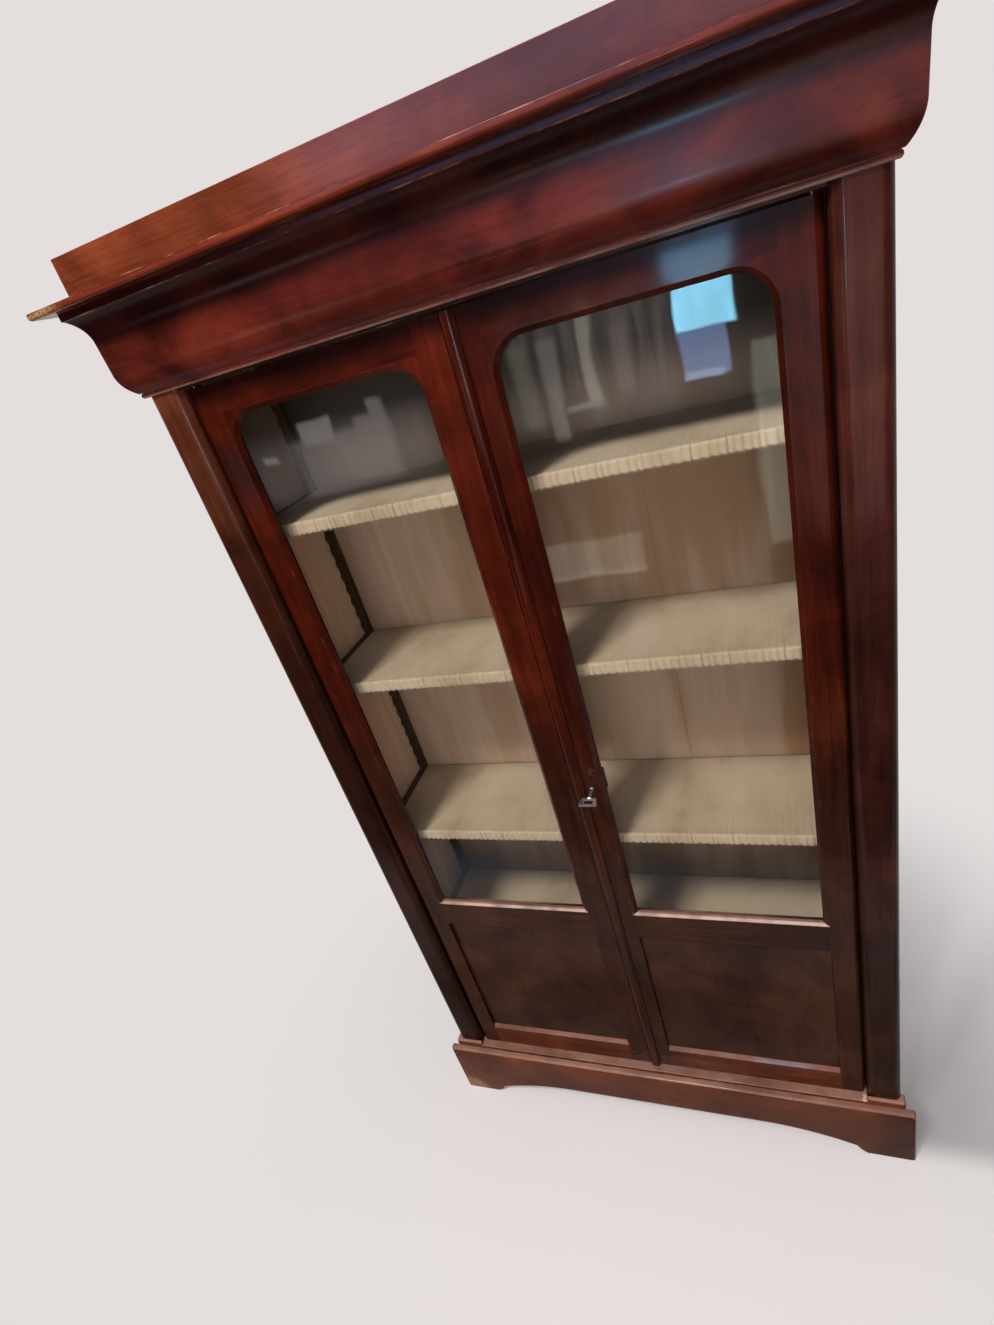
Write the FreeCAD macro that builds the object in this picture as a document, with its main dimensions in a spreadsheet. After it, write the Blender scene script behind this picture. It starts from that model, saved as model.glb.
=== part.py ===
"""Two-door glazed bookcase in mahogany, as a parametric document.

Frame: +Z up, the front faces -Y, +X is to the right seen from the front.
The origin is the middle of the bounding box at floor level.
"""

import FreeCAD
import Part
import Sketcher
import math
import os

# Driving dimensions in millimetres
SIZES = {
    "carcass_width": 1140,
    "carcass_depth": 318,
    "side_thick": 22,
    "back_thick": 12,
    "back_gap": 0.5,
    "stile_width": 70,
    "stile_depth": 40,
    "stile_height": 1910,
    "stile_round": 16,
    "stile_hollow": 17,
    "stile_hollow_radius": 20,
    "board_thick": 20,
    "strip_width": 42,
    "strip_thick": 6,
    "strip_lip": 12,
    # Plinth
    "plinth_height": 190,
    "plinth_out": 26,
    "plinth_end_out": 27,
    "plinth_face_thick": 20,
    "plinth_rail_thick": 24,
    "plinth_side_out": 2,
    "plinth_nose": 8,
    "foot_width": 90,
    "foot_curve_run": 36,
    "foot_curve_rise": 26,
    "arch_height": 68,
    "arch_run": 221,
    "rail_above_arch": 7,
    "sill_height": 8,
    "sill_out": 9,
    "sill_round": 3,
    "bead_height": 18,
    "bead_out": 9,
    "bead_round": 6,
    "bead_cove": 7,
    # Cornice, measured outwards and upwards from the foot of the moulding
    "cornice_lap": 42,
    "cornice_rebate": 22,
    "cornice_bead_rise": 9,
    "cornice_bead_out": 3,
    "cornice_bead_radius": 5,
    "ovolo_start": 7,
    "ovolo_out": 18,
    "ovolo_rise": 41,
    "ovolo_radius": 55.7,
    "belly_out": 1.5,
    "belly_rise": 48,
    "cove_out": 20.5,
    "cove_rise": 42,
    "cove_radius": 53.3,
    "fillet_out": 2,
    "fillet_rise": 12,
    "cap_thick": 11,
    "cap_out": 79,
    "cap_round": 5,
    "attic_height": 62,
    "attic_thick": 20,
    "attic_out": 28.6,
    "head_drop": 46,
    # Doors
    "door_recess": 12,
    "door_thick": 24,
    "door_gap": 3,
    "door_foot_gap": 2,
    "door_head_gap": 4,
    "meeting_x": -9.5,
    "meeting_gap": 2,
    "hinge_stile_width": 51,
    "left_meeting_width": 48.5,
    "right_meeting_width": 54.5,
    "bottom_rail_height": 74,
    "panel_height": 432,
    "mid_rail_height": 70,
    "top_rail_height": 47,
    "rail_chamfer": 8,
    "panel_thick": 12,
    "panel_recess": 9,
    "sight_width": 11,
    "sight_thick": 10,
    "sight_chamfer": 8,
    "sight_radius": 50,
    "glass_thick": 3,
    "glass_bead_width": 8,
    "glass_bead_thick": 6,
    "astragal_width": 24,
    "astragal_out": 9,
    "astragal_radius": 12.5,
    "astragal_lip": 2.2,
    # Pivots
    "pin_radius": 3,
    "running_gap": 0.05,
    "pivot_plate_margin": 11,
    "pivot_plate_width": 16,
    "pivot_plate_thick": 3,
    "collar_radius": 6,
    "seat_gap": 0.3,
    "foot_pin_end_gap": 2,
    "head_pin": 12,
    # Lock and key
    "lock_height": 1155,
    "lock_setback": 39,
    "lock_inset": 1,
    "lock_width": 60,
    "lock_tall": 50,
    "lock_thick": 11,
    "lock_wall": 2,
    "bolt_bar_room": 12,
    "bolt_bar_tall": 9.4,
    "bolt_bar_thick": 4.4,
    "bolt_bar_top_gap": 2.3,
    "bolt_bar_inset": 0.5,
    "key_radius": 2.7,
    "key_clearance": 0.1,
    "key_out": 36,
    "key_tip_gap": 1.5,
    "key_bit_gap": 2.3,
    "key_bit_length": 3.5,
    "key_tip_bare": 1.2,
    "key_bit_thick": 3,
    "bow_near": 28,
    "bow_far": 36,
    "bow_depth": 20,
    "bow_bar": 4,
    "bow_round": 1.6,
    "key_collar_radius": 4.2,
    "key_collar_length": 3,
    "key_collar_gap": 1.5,
    "keyhole_clearance": 0.7,
    "keyhole_slot": 10,
    "keyhole_slot_width": 3.4,
    "plate_width": 12,
    "plate_tall": 24,
    "plate_above": 8,
    "plate_thick": 1,
    # Slide bolts of the left door
    "slide_width": 10,
    "slide_thick": 5,
    "slide_length": 118,
    "slide_inset": 1,
    "slide_travel": 11,
    "slide_setback": 25,
    "slide_cover": 1.5,
    "slide_cover_width": 18,
    "slide_cover_length": 90,
    "slide_knob_radius": 2.2,
    "slide_knob_out": 5,
    # Shelves and what carries them
    "shelf_thick": 20,
    "shelf_side_gap": 1,
    "rack_width": 20,
    "rack_depth": 15,
    "rack_setback": 6,
    "notch_depth": 4,
    "notch_slack": 0.6,
    "notch_pitch": 33,
    "notch_first": 81,
    "notch_top_margin": 100,
    "bearer_width": 16,
    "bearer_height": 18,
    "shelf_1_share": 0.157,
    "shelf_2_share": 0.392,
    "shelf_3_share": 0.647,
    "shelf_4_share": 0.863,
    # Cloth lining of a shelf
    "cloth_thick": 2.5,
    "cloth_drop": 28,
    "cloth_clearance": 0.6,
    "cloth_back_gap": 3,
    "cloth_fold": 4,
    "cloth_folds": 84,
    "overrun": 5,
}

# How near an edge must be to a place to be that edge
TOUCH = 1e-4

doc = FreeCAD.newDocument("DisplayCabinet")
sheet = doc.addObject("Spreadsheet::Sheet", "Sizes")
for row, (alias, value) in enumerate(SIZES.items(), start=1):
    sheet.set("A%d" % row, alias)
    sheet.set("B%d" % row, str(value))
    sheet.setAlias("B%d" % row, alias)
doc.recompute()


class Size:
    """A length that is both a number and an expression over the sheet."""

    def __init__(self, number, text):
        self.number = number
        self.text = text

    def __add__(self, other):
        return Size(self.number + number(other), "(%s + %s)" % (self.text, text(other)))

    def __radd__(self, other):
        return self + other

    def __sub__(self, other):
        return Size(self.number - number(other), "(%s - %s)" % (self.text, text(other)))

    def __rsub__(self, other):
        return Size(number(other) - self.number, "(%s - %s)" % (text(other), self.text))

    def __mul__(self, factor):
        return Size(self.number * number(factor), "(%s * %s)" % (self.text, text(factor)))

    def __rmul__(self, factor):
        return self * factor

    def __truediv__(self, factor):
        return Size(self.number / number(factor), "(%s / %s)" % (self.text, text(factor)))

    def __neg__(self):
        return self * -1

    def whole(self):
        """The nearest whole number."""
        return Size(float(math.floor(self.number + 0.5)), "floor(%s + 0.5)" % self.text)

    def at_least(self, other):
        """The larger of two lengths."""
        larger = max(self.number, number(other))
        return Size(larger, "max(%s; %s)" % (self.text, text(other)))

    def below(self):
        """The whole number at or under this one."""
        return Size(float(math.floor(self.number)), "floor(%s)" % self.text)


def number(value):
    return value.number if isinstance(value, Size) else float(value)


def text(value):
    return value.text if isinstance(value, Size) else "(%r)" % value


class Sizes:
    """Named sizes: S.door_gap reads the cell with that alias."""

    def __getattr__(self, alias):
        return Size(float(sheet.get(alias)), "Sizes." + alias)


S = Sizes()
NODES = []


def bind(thing, prop, size):
    if isinstance(size, Size):
        thing.setExpression(prop, size.text)
    else:
        thing.setExpression(prop, repr(float(size)))


def node(thing, label):
    """Marks a document object as a finished sub-part."""
    thing.Label = label
    NODES.append(thing)
    return thing


def mirrored(span, side):
    """A span along X, or its mirror image when side is -1."""
    return span if side > 0 else (-span[1], -span[0])


def box(name, x, y, z):
    """A box from its three (start, end) spans."""
    solid = doc.addObject("Part::Box", name)
    for prop, span in (("Length", x), ("Width", y), ("Height", z)):
        bind(solid, prop, span[1] - span[0])
    for axis, span in zip("xyz", (x, y, z)):
        bind(solid, "Placement.Base." + axis, span[0])
    return solid


def rod(name, radius, length, base, direction="z"):
    """A cylinder from its base point along +Z, +Y or +X."""
    turn = {
        "z": FreeCAD.Rotation(),
        "y": FreeCAD.Rotation(FreeCAD.Vector(1, 0, 0), -90),
        "x": FreeCAD.Rotation(FreeCAD.Vector(0, 1, 0), 90),
    }[direction]
    solid = doc.addObject("Part::Cylinder", name)
    bind(solid, "Radius", radius)
    bind(solid, "Height", length)
    solid.Placement = FreeCAD.Placement(FreeCAD.Vector(), turn)
    for axis, place in zip("xyz", base):
        bind(solid, "Placement.Base." + axis, place)
    return solid


def fuse(name, parts):
    joined = doc.addObject("Part::MultiFuse", name)
    joined.Shapes = parts
    return joined


def group(name, parts):
    together = doc.addObject("Part::Compound", name)
    together.Links = parts
    return together


def cut(name, base, tools):
    result = doc.addObject("Part::Cut", name)
    result.Base = base
    result.Tool = tools[0] if len(tools) == 1 else fuse(name + "_tools", tools)
    return result


def common(name, base, tool):
    result = doc.addObject("Part::Common", name)
    result.Base = base
    result.Tool = tool
    return result


def arc_geometry(start, end, radius, turn):
    """The arc under a half circle from start to end, turning left when turn is 1."""
    chord = end - start
    middle = (start + end) * 0.5
    reach = math.sqrt(max(radius * radius - chord.Length * chord.Length / 4, 0))
    normal = FreeCAD.Vector(-chord.y, chord.x, 0).normalize()
    centre = middle + normal * reach * turn
    first, last = (start, end) if turn > 0 else (end, start)
    angle = [math.atan2(p.y - centre.y, p.x - centre.x) for p in (first, last)]
    circle = Part.Circle(centre, FreeCAD.Vector(0, 0, 1), radius)
    return Part.ArcOfCircle(circle, angle[0], angle[1])


def draw(sketch, start, steps):
    """Draws a closed outline: (x, y) is a line, (x, y, radius, turn) an arc."""
    points = [start] + [step[:2] for step in steps]
    ends = []
    for place, step in enumerate(steps):
        a, b = points[place], points[place + 1]
        va = FreeCAD.Vector(number(a[0]), number(a[1]), 0)
        vb = FreeCAD.Vector(number(b[0]), number(b[1]), 0)
        if len(step) == 2:
            index = sketch.addGeometry(Part.LineSegment(va, vb), False)
            ends.append((index, 1, 2))
            continue
        index = sketch.addGeometry(arc_geometry(va, vb, number(step[2]), step[3]), False)
        ends.append((index, 1, 2) if step[3] > 0 else (index, 2, 1))
        held = sketch.addConstraint(Sketcher.Constraint("Radius", index, number(step[2])))
        bind(sketch, "Constraints[%d]" % held, step[2])
    for place, (index, first, last) in enumerate(ends):
        following = ends[(place + 1) % len(ends)]
        sketch.addConstraint(
            Sketcher.Constraint("Coincident", index, last, following[0], following[1])
        )
        for kind, size in zip(("DistanceX", "DistanceY"), points[place]):
            if isinstance(size, Size):
                rule = Sketcher.Constraint(kind, -1, 1, index, first, size.number)
                held = sketch.addConstraint(rule)
                bind(sketch, "Constraints[%d]" % held, size)
            else:
                axis = -2 if kind == "DistanceX" else -1
                sketch.addConstraint(
                    Sketcher.Constraint("PointOnObject", index, first, axis)
                )


def flipped(start, steps, side):
    """An outline, or its mirror image in X when side is -1."""
    if side > 0:
        return start, steps
    turned = [
        (-1 * step[0], step[1]) if len(step) == 2 else (-1 * step[0], step[1], step[2], -step[3])
        for step in steps
    ]
    return (-1 * start[0], start[1]), turned


def outlined(name, plane, outlines, depth, place):
    """A body padded from outlines on one of its origin planes, then placed."""
    body = doc.addObject("PartDesign::Body", name)
    sketch = body.newObject("Sketcher::SketchObject", name + "_sketch")
    origin = [f for f in body.Origin.OriginFeatures if f.Role == plane][0]
    sketch.AttachmentSupport = [(origin, "")]
    sketch.MapMode = "FlatFace"
    for start, steps in outlines:
        draw(sketch, start, steps)
    pad = body.newObject("PartDesign::Pad", name + "_pad")
    pad.Profile = sketch
    bind(pad, "Length", depth)
    for axis, size in zip("xyz", place):
        bind(body, "Placement.Base." + axis, size)
    doc.recompute()
    return body


def dress(body, kind, test, prop, size):
    """A fillet or chamfer on the edges of a body's last feature that pass a test."""
    base = body.Tip
    names = [
        "Edge%d" % count
        for count, edge in enumerate(base.Shape.Edges, start=1)
        if test(edge)
    ]
    feature = body.newObject("PartDesign::" + kind, body.Name + "_" + kind.lower())
    feature.Base = (base, names)
    bind(feature, prop, size)
    doc.recompute()
    return body


def along(edge, axis, **places):
    """True for a straight edge along an axis whose centre has the given coordinates."""
    first, last = edge.Vertexes[0].Point, edge.Vertexes[-1].Point
    run = last - first
    if run.Length == 0 or abs(abs(getattr(run, axis)) - run.Length) > TOUCH:
        return False
    centre = (first + last) * 0.5
    return all(abs(getattr(centre, k) - number(v)) < TOUCH for k, v in places.items())


def upright(edge):
    """True for a straight edge along Z."""
    run = edge.Vertexes[-1].Point - edge.Vertexes[0].Point
    return abs(run.x) < TOUCH and abs(run.y) < TOUCH and abs(run.z) > TOUCH


# Places shared by several pieces
face_y = (S.cap_out - S.carcass_depth) / 2
back_y = face_y + S.carcass_depth
half = S.carcass_width / 2
side_inner = half - S.side_thick
opening_half = half - S.stile_width
carcass_foot = S.plinth_height
carcass_top = S.plinth_height + S.stile_height
board_front = face_y + S.stile_depth
board_back = back_y - S.back_thick
door_back = face_y + S.door_recess + S.door_thick
strip_back = board_front + S.strip_thick
lock_back = door_back + S.lock_thick
cloth_front = lock_back.at_least(strip_back) + S.cloth_clearance
shelf_front = cloth_front + S.cloth_fold + S.cloth_thick + S.seat_gap
floor_top = carcass_foot + S.board_thick
ceiling = carcass_top - S.board_thick
head_foot = carcass_top - S.head_drop


def level_arc_radius(run, rise):
    """Radius of the arc that starts level and climbs by rise over run."""
    return (run * run + rise * rise) / rise / 2


def plinth():
    """Shaped front, plain sides, and the rails that carry the carcass."""
    end = half + S.plinth_end_out
    toe = end - S.foot_width
    knee = toe - S.foot_curve_run
    crown = knee - S.arch_run
    foot_radius = level_arc_radius(S.foot_curve_run, S.foot_curve_rise)
    arch_radius = level_arc_radius(S.arch_run, S.arch_height - S.foot_curve_rise)
    start = (-end, 0)
    steps = [
        (-toe, 0),
        (-knee, S.foot_curve_rise, foot_radius, 1),
        (-crown, S.arch_height, arch_radius, -1),
        (crown, S.arch_height),
        (knee, S.foot_curve_rise, arch_radius, -1),
        (toe, 0, foot_radius, 1),
        (end, 0),
        (end, S.plinth_height),
        (-end, S.plinth_height),
        (-end, 0),
    ]
    front = face_y - S.plinth_out
    behind = front + S.plinth_face_thick
    body = outlined(
        "PlinthFront", "XZ_Plane", [(start, steps)], S.plinth_face_thick, (0, behind, 0)
    )
    dress(
        body,
        "Fillet",
        lambda e: along(e, "x", y=-S.plinth_face_thick, z=S.plinth_height)
        or along(e, "z", y=-S.plinth_face_thick, x=end)
        or along(e, "z", y=-S.plinth_face_thick, x=-end),
        "Radius",
        S.plinth_nose,
    )
    node(body, "plinth_front")
    inner = half - S.plinth_rail_thick
    sides = [
        box(
            "PlinthSide%d" % count,
            mirrored((inner, half + S.plinth_side_out), side),
            (behind, back_y),
            (0, carcass_foot),
        )
        for count, side in enumerate((-1, 1))
    ]
    node(group("PlinthSides", sides), "plinth_sides")
    rail_foot = S.arch_height + S.rail_above_arch
    rails = [
        box("PlinthRail%d" % count, (-inner, inner), y, (rail_foot, carcass_foot))
        for count, y in enumerate(
            (
                (behind, behind + S.plinth_rail_thick),
                (back_y - S.plinth_rail_thick, back_y),
            )
        )
    ]
    node(group("PlinthRails", rails), "plinth_rails")


def stile_outline():
    """Plan of the right corner stile: rounded outer edge, hollowed inner edge."""
    start = (opening_half, face_y + S.stile_depth)
    steps = [
        (opening_half, face_y + S.stile_hollow),
        (opening_half + S.stile_hollow, face_y, S.stile_hollow_radius, 1),
        (half - S.stile_round, face_y),
        (half, face_y + S.stile_round, S.stile_round, 1),
        (half, face_y + S.stile_depth),
        start,
    ]
    return start, steps


def bead_outline():
    """Plan of the bead that wraps the foot of the right corner stile."""
    front = face_y - S.bead_out
    outer = half + S.bead_out
    start = (opening_half, face_y)
    steps = [
        (opening_half, front),
        (outer - S.bead_round, front),
        (outer, front + S.bead_round, S.bead_round, 1),
        (outer, face_y + S.stile_round),
        (half, face_y + S.stile_round),
        (half - S.stile_round, face_y, S.stile_round, -1),
        start,
    ]
    return start, steps


def dust_strips():
    """Strips behind the corner stiles that close the gaps beside the doors."""
    lip = opening_half - S.strip_lip
    strips = [
        box(
            "DustStrip%d" % count,
            mirrored((lip, lip + S.strip_width), side),
            (board_front, strip_back),
            (floor_top, head_foot),
        )
        for count, side in enumerate((-1, 1))
    ]
    node(group("DustStrips", strips), "dust_strips")


def carcass():
    """Stiles, sides, boards and the sill and head that the doors turn in."""
    beads = []
    for side, word in ((-1, "left"), (1, "right")):
        stile = outlined(
            "Stile_" + word,
            "XY_Plane",
            [flipped(*stile_outline(), side)],
            S.stile_height,
            (0, 0, carcass_foot),
        )
        node(stile, "stile_" + word)
        side_board = box(
            "Side_" + word,
            mirrored((side_inner, half), side),
            (board_front, back_y),
            (carcass_foot, carcass_top),
        )
        node(side_board, "side_" + word)
        bead = outlined(
            "Bead_" + word,
            "XY_Plane",
            [flipped(*bead_outline(), side)],
            S.bead_height,
            (0, 0, carcass_foot),
        )
        dress(
            bead,
            "Fillet",
            lambda e: along(e, "x", y=face_y - S.bead_out, z=S.bead_height),
            "Radius",
            S.bead_cove,
        )
        beads.append(bead)
    node(group("BaseBeads", beads), "base_beads")
    dust_strips()

    node(
        box(
            "BottomBoard",
            (-side_inner, side_inner),
            (board_front, board_back),
            (carcass_foot, floor_top),
        ),
        "bottom_board",
    )
    node(
        box(
            "TopBoard",
            (-side_inner, side_inner),
            (board_front, board_back),
            (ceiling, carcass_top),
        ),
        "top_board",
    )
    words = ("left", "middle", "right")
    width = (side_inner * 2 - S.back_gap * (len(words) - 1)) / len(words)
    for count, word in enumerate(words):
        start = -side_inner + (width + S.back_gap) * count
        node(
            box(
                "Back_" + word,
                (start, start + width),
                (board_back, back_y),
                (carcass_foot, carcass_top),
            ),
            "back_board_" + word,
        )


def slide_x():
    """Middle of the left door's slide bolts along X."""
    return S.meeting_x - S.meeting_gap / 2 - S.slide_setback


def slide_y():
    """Span of the slide bolts along Y, in the back of the meeting stile."""
    behind = face_y + S.door_recess + S.door_thick - S.slide_inset
    return behind - S.slide_thick, behind


def pivot_x(side):
    return (opening_half - S.door_gap - S.door_thick / 2) * side


def pivot_y():
    return face_y + S.door_recess + S.door_thick / 2


def slide_hole(name, z):
    """The hole in the sill or head that takes a slide bolt."""
    front, behind = slide_y()
    reach = S.slide_width / 2 + S.seat_gap
    x = slide_x()
    return box(
        name, (x - reach, x + reach), (front - S.seat_gap, behind + S.seat_gap), z
    )


def sill_and_head():
    """The sill under the doors and the rail over them, bored for the pivots."""
    sill_z = (carcass_foot, carcass_foot + S.sill_height)
    blank = outlined(
        "SillBlank",
        "YZ_Plane",
        [
            (
                (-S.sill_out, 0),
                [
                    (S.stile_depth, 0),
                    (S.stile_depth, S.sill_height),
                    (S.sill_round - S.sill_out, S.sill_height),
                    (-S.sill_out, S.sill_height - S.sill_round, S.sill_round, 1),
                    (-S.sill_out, 0),
                ],
            )
        ],
        opening_half * 2,
        (-opening_half, face_y, carcass_foot),
    )
    bore = S.pin_radius + S.running_gap
    holes = [
        rod(
            "SillBore%d" % count,
            bore,
            S.sill_height + S.overrun * 2,
            (pivot_x(side), pivot_y(), sill_z[0] - S.overrun),
        )
        for count, side in enumerate((-1, 1))
    ]
    holes.append(slide_hole("SillSlot", (sill_z[0] - S.overrun, sill_z[1] + S.overrun)))
    node(cut("Sill", blank, holes), "sill_rail")

    head = box(
        "HeadBlank",
        (-opening_half, opening_half),
        (face_y, board_front),
        (head_foot, carcass_top),
    )
    depth = S.head_pin + S.overrun
    holes = [
        rod(
            "HeadBore%d" % count,
            bore,
            depth + S.overrun,
            (pivot_x(side), pivot_y(), head_foot - S.overrun),
        )
        for count, side in enumerate((-1, 1))
    ]
    holes.append(slide_hole("HeadSlot", (head_foot - S.overrun, head_foot + depth)))
    node(cut("Head", head, holes), "head_rail")


def cornice_profile():
    """Section of the ogee: first coordinate outwards, second upwards."""
    ovolo = S.ovolo_start + S.ovolo_out
    belly = ovolo + S.belly_out
    cove = belly + S.cove_out
    shoulder = S.cornice_bead_rise
    ovolo_z = shoulder + S.ovolo_rise
    belly_z = ovolo_z + S.belly_rise
    cove_z = belly_z + S.cove_rise
    top = cove_z + S.fillet_rise
    return (0, 0), [
        (S.cornice_bead_out, 0),
        (S.cornice_bead_out, shoulder, S.cornice_bead_radius, 1),
        (S.ovolo_start, shoulder),
        (ovolo, ovolo_z, S.ovolo_radius, 1),
        (belly, belly_z),
        (cove, cove_z, S.cove_radius, -1),
        (cove + S.fillet_out, cove_z),
        (cove + S.fillet_out, top),
        (-S.cornice_rebate, top),
        (-S.cornice_rebate, S.cornice_lap),
        (0, S.cornice_lap),
        (0, 0),
    ]


def cornice_height():
    return S.cornice_bead_rise + S.ovolo_rise + S.belly_rise + S.cove_rise + S.fillet_rise


def cornice():
    """Ogee front and returns, mitred at the corners, with the cap over them."""
    reach = S.cap_out
    foot = carcass_top - S.cornice_lap
    rise = cornice_height()
    start, steps = cornice_profile()
    # Outwards is -Y on the front, so the section is mirrored on the YZ plane
    front_outline = flipped(start, steps, -1)
    long_front = outlined(
        "CorniceFrontRun",
        "YZ_Plane",
        [front_outline],
        (half + reach) * 2,
        (-half - reach, face_y, foot),
    )
    mitre = (
        (-half - reach, face_y - reach),
        [
            (half + reach, face_y - reach),
            (half - S.cornice_rebate, face_y + S.cornice_rebate),
            (-half + S.cornice_rebate, face_y + S.cornice_rebate),
            (-half - reach, face_y - reach),
        ],
    )
    wedge = outlined("FrontMitre", "XY_Plane", [mitre], rise, (0, 0, foot))
    node(common("CorniceFront", long_front, wedge), "cornice_front")
    for side, word in ((-1, "left"), (1, "right")):
        run = outlined(
            "CorniceRun_" + word,
            "XZ_Plane",
            [flipped(start, steps, side)],
            S.carcass_depth + reach,
            (half * side, back_y, foot),
        )
        plan = (
            (half + reach, face_y - reach),
            [
                (half + reach, back_y),
                (half - S.cornice_rebate, back_y),
                (half - S.cornice_rebate, face_y + S.cornice_rebate),
                (half + reach, face_y - reach),
            ],
        )
        wedge = outlined("Mitre_" + word, "XY_Plane", [flipped(*plan, side)], rise, (0, 0, foot))
        node(common("Cornice_" + word, run, wedge), "cornice_" + word)

    cap_foot = foot + rise
    cap_top = cap_foot + S.cap_thick
    cap_x = half + S.cap_out
    plan = (
        (-cap_x, face_y - S.cap_out),
        [
            (cap_x, face_y - S.cap_out),
            (cap_x, back_y),
            (-cap_x, back_y),
            (-cap_x, face_y - S.cap_out),
        ],
    )
    cap = outlined("Cap", "XY_Plane", [plan], S.cap_thick, (0, 0, cap_foot))
    dress(
        cap,
        "Fillet",
        lambda e: along(e, "x", y=face_y - S.cap_out, z=0)
        or along(e, "y", x=cap_x, z=0)
        or along(e, "y", x=-cap_x, z=0),
        "Radius",
        S.cap_round,
    )
    node(cap, "cornice_cap")
    return cap_top


def attic(foot):
    """The set-back board over the cap, and its returns."""
    front = face_y - S.attic_out
    outer = half + S.attic_out
    z = (foot, foot + S.attic_height)
    behind = front + S.attic_thick
    node(box("AtticFront", (-outer, outer), (front, behind), z), "attic_front")
    returns = [
        box(
            "AtticSide%d" % count,
            mirrored((outer - S.attic_thick, outer), side),
            (behind, back_y),
            z,
        )
        for count, side in enumerate((-1, 1))
    ]
    node(group("AtticSides", returns), "attic_sides")


def door(side, word, meeting_width):
    """One door: frame, lower panel, sight frame, glass, beads and pivots."""
    front = face_y + S.door_recess
    behind = front + S.door_thick
    depth = (front, behind)
    hinge_edge = opening_half - S.door_gap
    meeting_edge = S.meeting_x * side + S.meeting_gap / 2
    foot = carcass_foot + S.sill_height + S.door_foot_gap
    top = head_foot - S.door_head_gap
    clear_out = hinge_edge - S.hinge_stile_width
    clear_in = meeting_edge + meeting_width
    clear = mirrored((clear_in, clear_out), side)
    prefix = word + "_door_"

    setback = S.door_thick / 2
    start = (hinge_edge - setback, behind)
    plan = (
        start,
        [
            (clear_out, behind),
            (clear_out, front),
            (hinge_edge - setback, front),
            (hinge_edge, front + setback, setback, 1),
            (*start, setback, 1),
        ],
    )
    blank = outlined(
        word + "HingeBlank", "XY_Plane", [flipped(*plan, side)], top - foot, (0, 0, foot)
    )
    plate_half = S.pivot_plate_width / 2
    outer_edge = hinge_edge - setback + plate_half
    inner_edge = outer_edge - S.hinge_stile_width + S.pivot_plate_margin
    plate_x = mirrored((inner_edge, outer_edge), side)
    plate_y = (pivot_y() - plate_half, pivot_y() + plate_half)
    plate_z = ((foot, foot + S.pivot_plate_thick), (top - S.pivot_plate_thick, top))
    mortises = [
        box(word + "Mortise%d" % count, plate_x, plate_y, z)
        for count, z in enumerate(plate_z)
    ]
    node(cut(word + "HingeStile", blank, mortises), prefix + "hinge_stile")

    low_plate = box(word + "FootPlate", plate_x, plate_y, plate_z[0])
    foot_pin = S.door_foot_gap + S.sill_height - S.foot_pin_end_gap
    low_pin = rod(
        word + "FootPin", S.pin_radius, foot_pin, (pivot_x(side), pivot_y(), foot - foot_pin)
    )
    collar_height = S.door_foot_gap - S.seat_gap
    collar = rod(
        word + "FootCollar",
        S.collar_radius,
        collar_height,
        (pivot_x(side), pivot_y(), foot - collar_height),
    )
    high_plate = box(word + "HeadPlate", plate_x, plate_y, plate_z[1])
    high_pin = rod(
        word + "HeadPin", S.pin_radius, S.head_pin, (pivot_x(side), pivot_y(), top)
    )
    pivots = group(
        word + "Pivots",
        [
            fuse(word + "FootPivot", [low_plate, low_pin, collar]),
            fuse(word + "HeadPivot", [high_plate, high_pin]),
        ],
    )
    node(pivots, word + "_door_pivots")

    meeting = box(
        word + "MeetingBlank", mirrored((meeting_edge, clear_in), side), depth, (foot, top)
    )
    node(meeting_stile(meeting, word, side, foot, top), prefix + "meeting_stile")

    rail_1 = foot + S.bottom_rail_height
    rail_2 = rail_1 + S.panel_height
    rail_3 = rail_2 + S.mid_rail_height
    rail_4 = top - S.top_rail_height
    low = outlined(
        word + "BottomRail",
        "YZ_Plane",
        [
            (
                (0, 0),
                [
                    (S.door_thick, 0),
                    (S.door_thick, S.bottom_rail_height),
                    (S.rail_chamfer, S.bottom_rail_height),
                    (0, S.bottom_rail_height - S.rail_chamfer),
                    (0, 0),
                ],
            )
        ],
        clear[1] - clear[0],
        (clear[0], front, foot),
    )
    node(low, prefix + "bottom_rail")
    node(box(word + "MidRail", clear, depth, (rail_2, rail_3)), prefix + "mid_rail")
    node(box(word + "TopRail", clear, depth, (rail_4, top)), prefix + "top_rail")
    panel_front = front + S.panel_recess
    panel = box(
        word + "Panel", clear, (panel_front, panel_front + S.panel_thick), (rail_1, rail_2)
    )
    node(panel, prefix + "panel")

    glazing(word, clear, front, (rail_3, rail_4))


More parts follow.
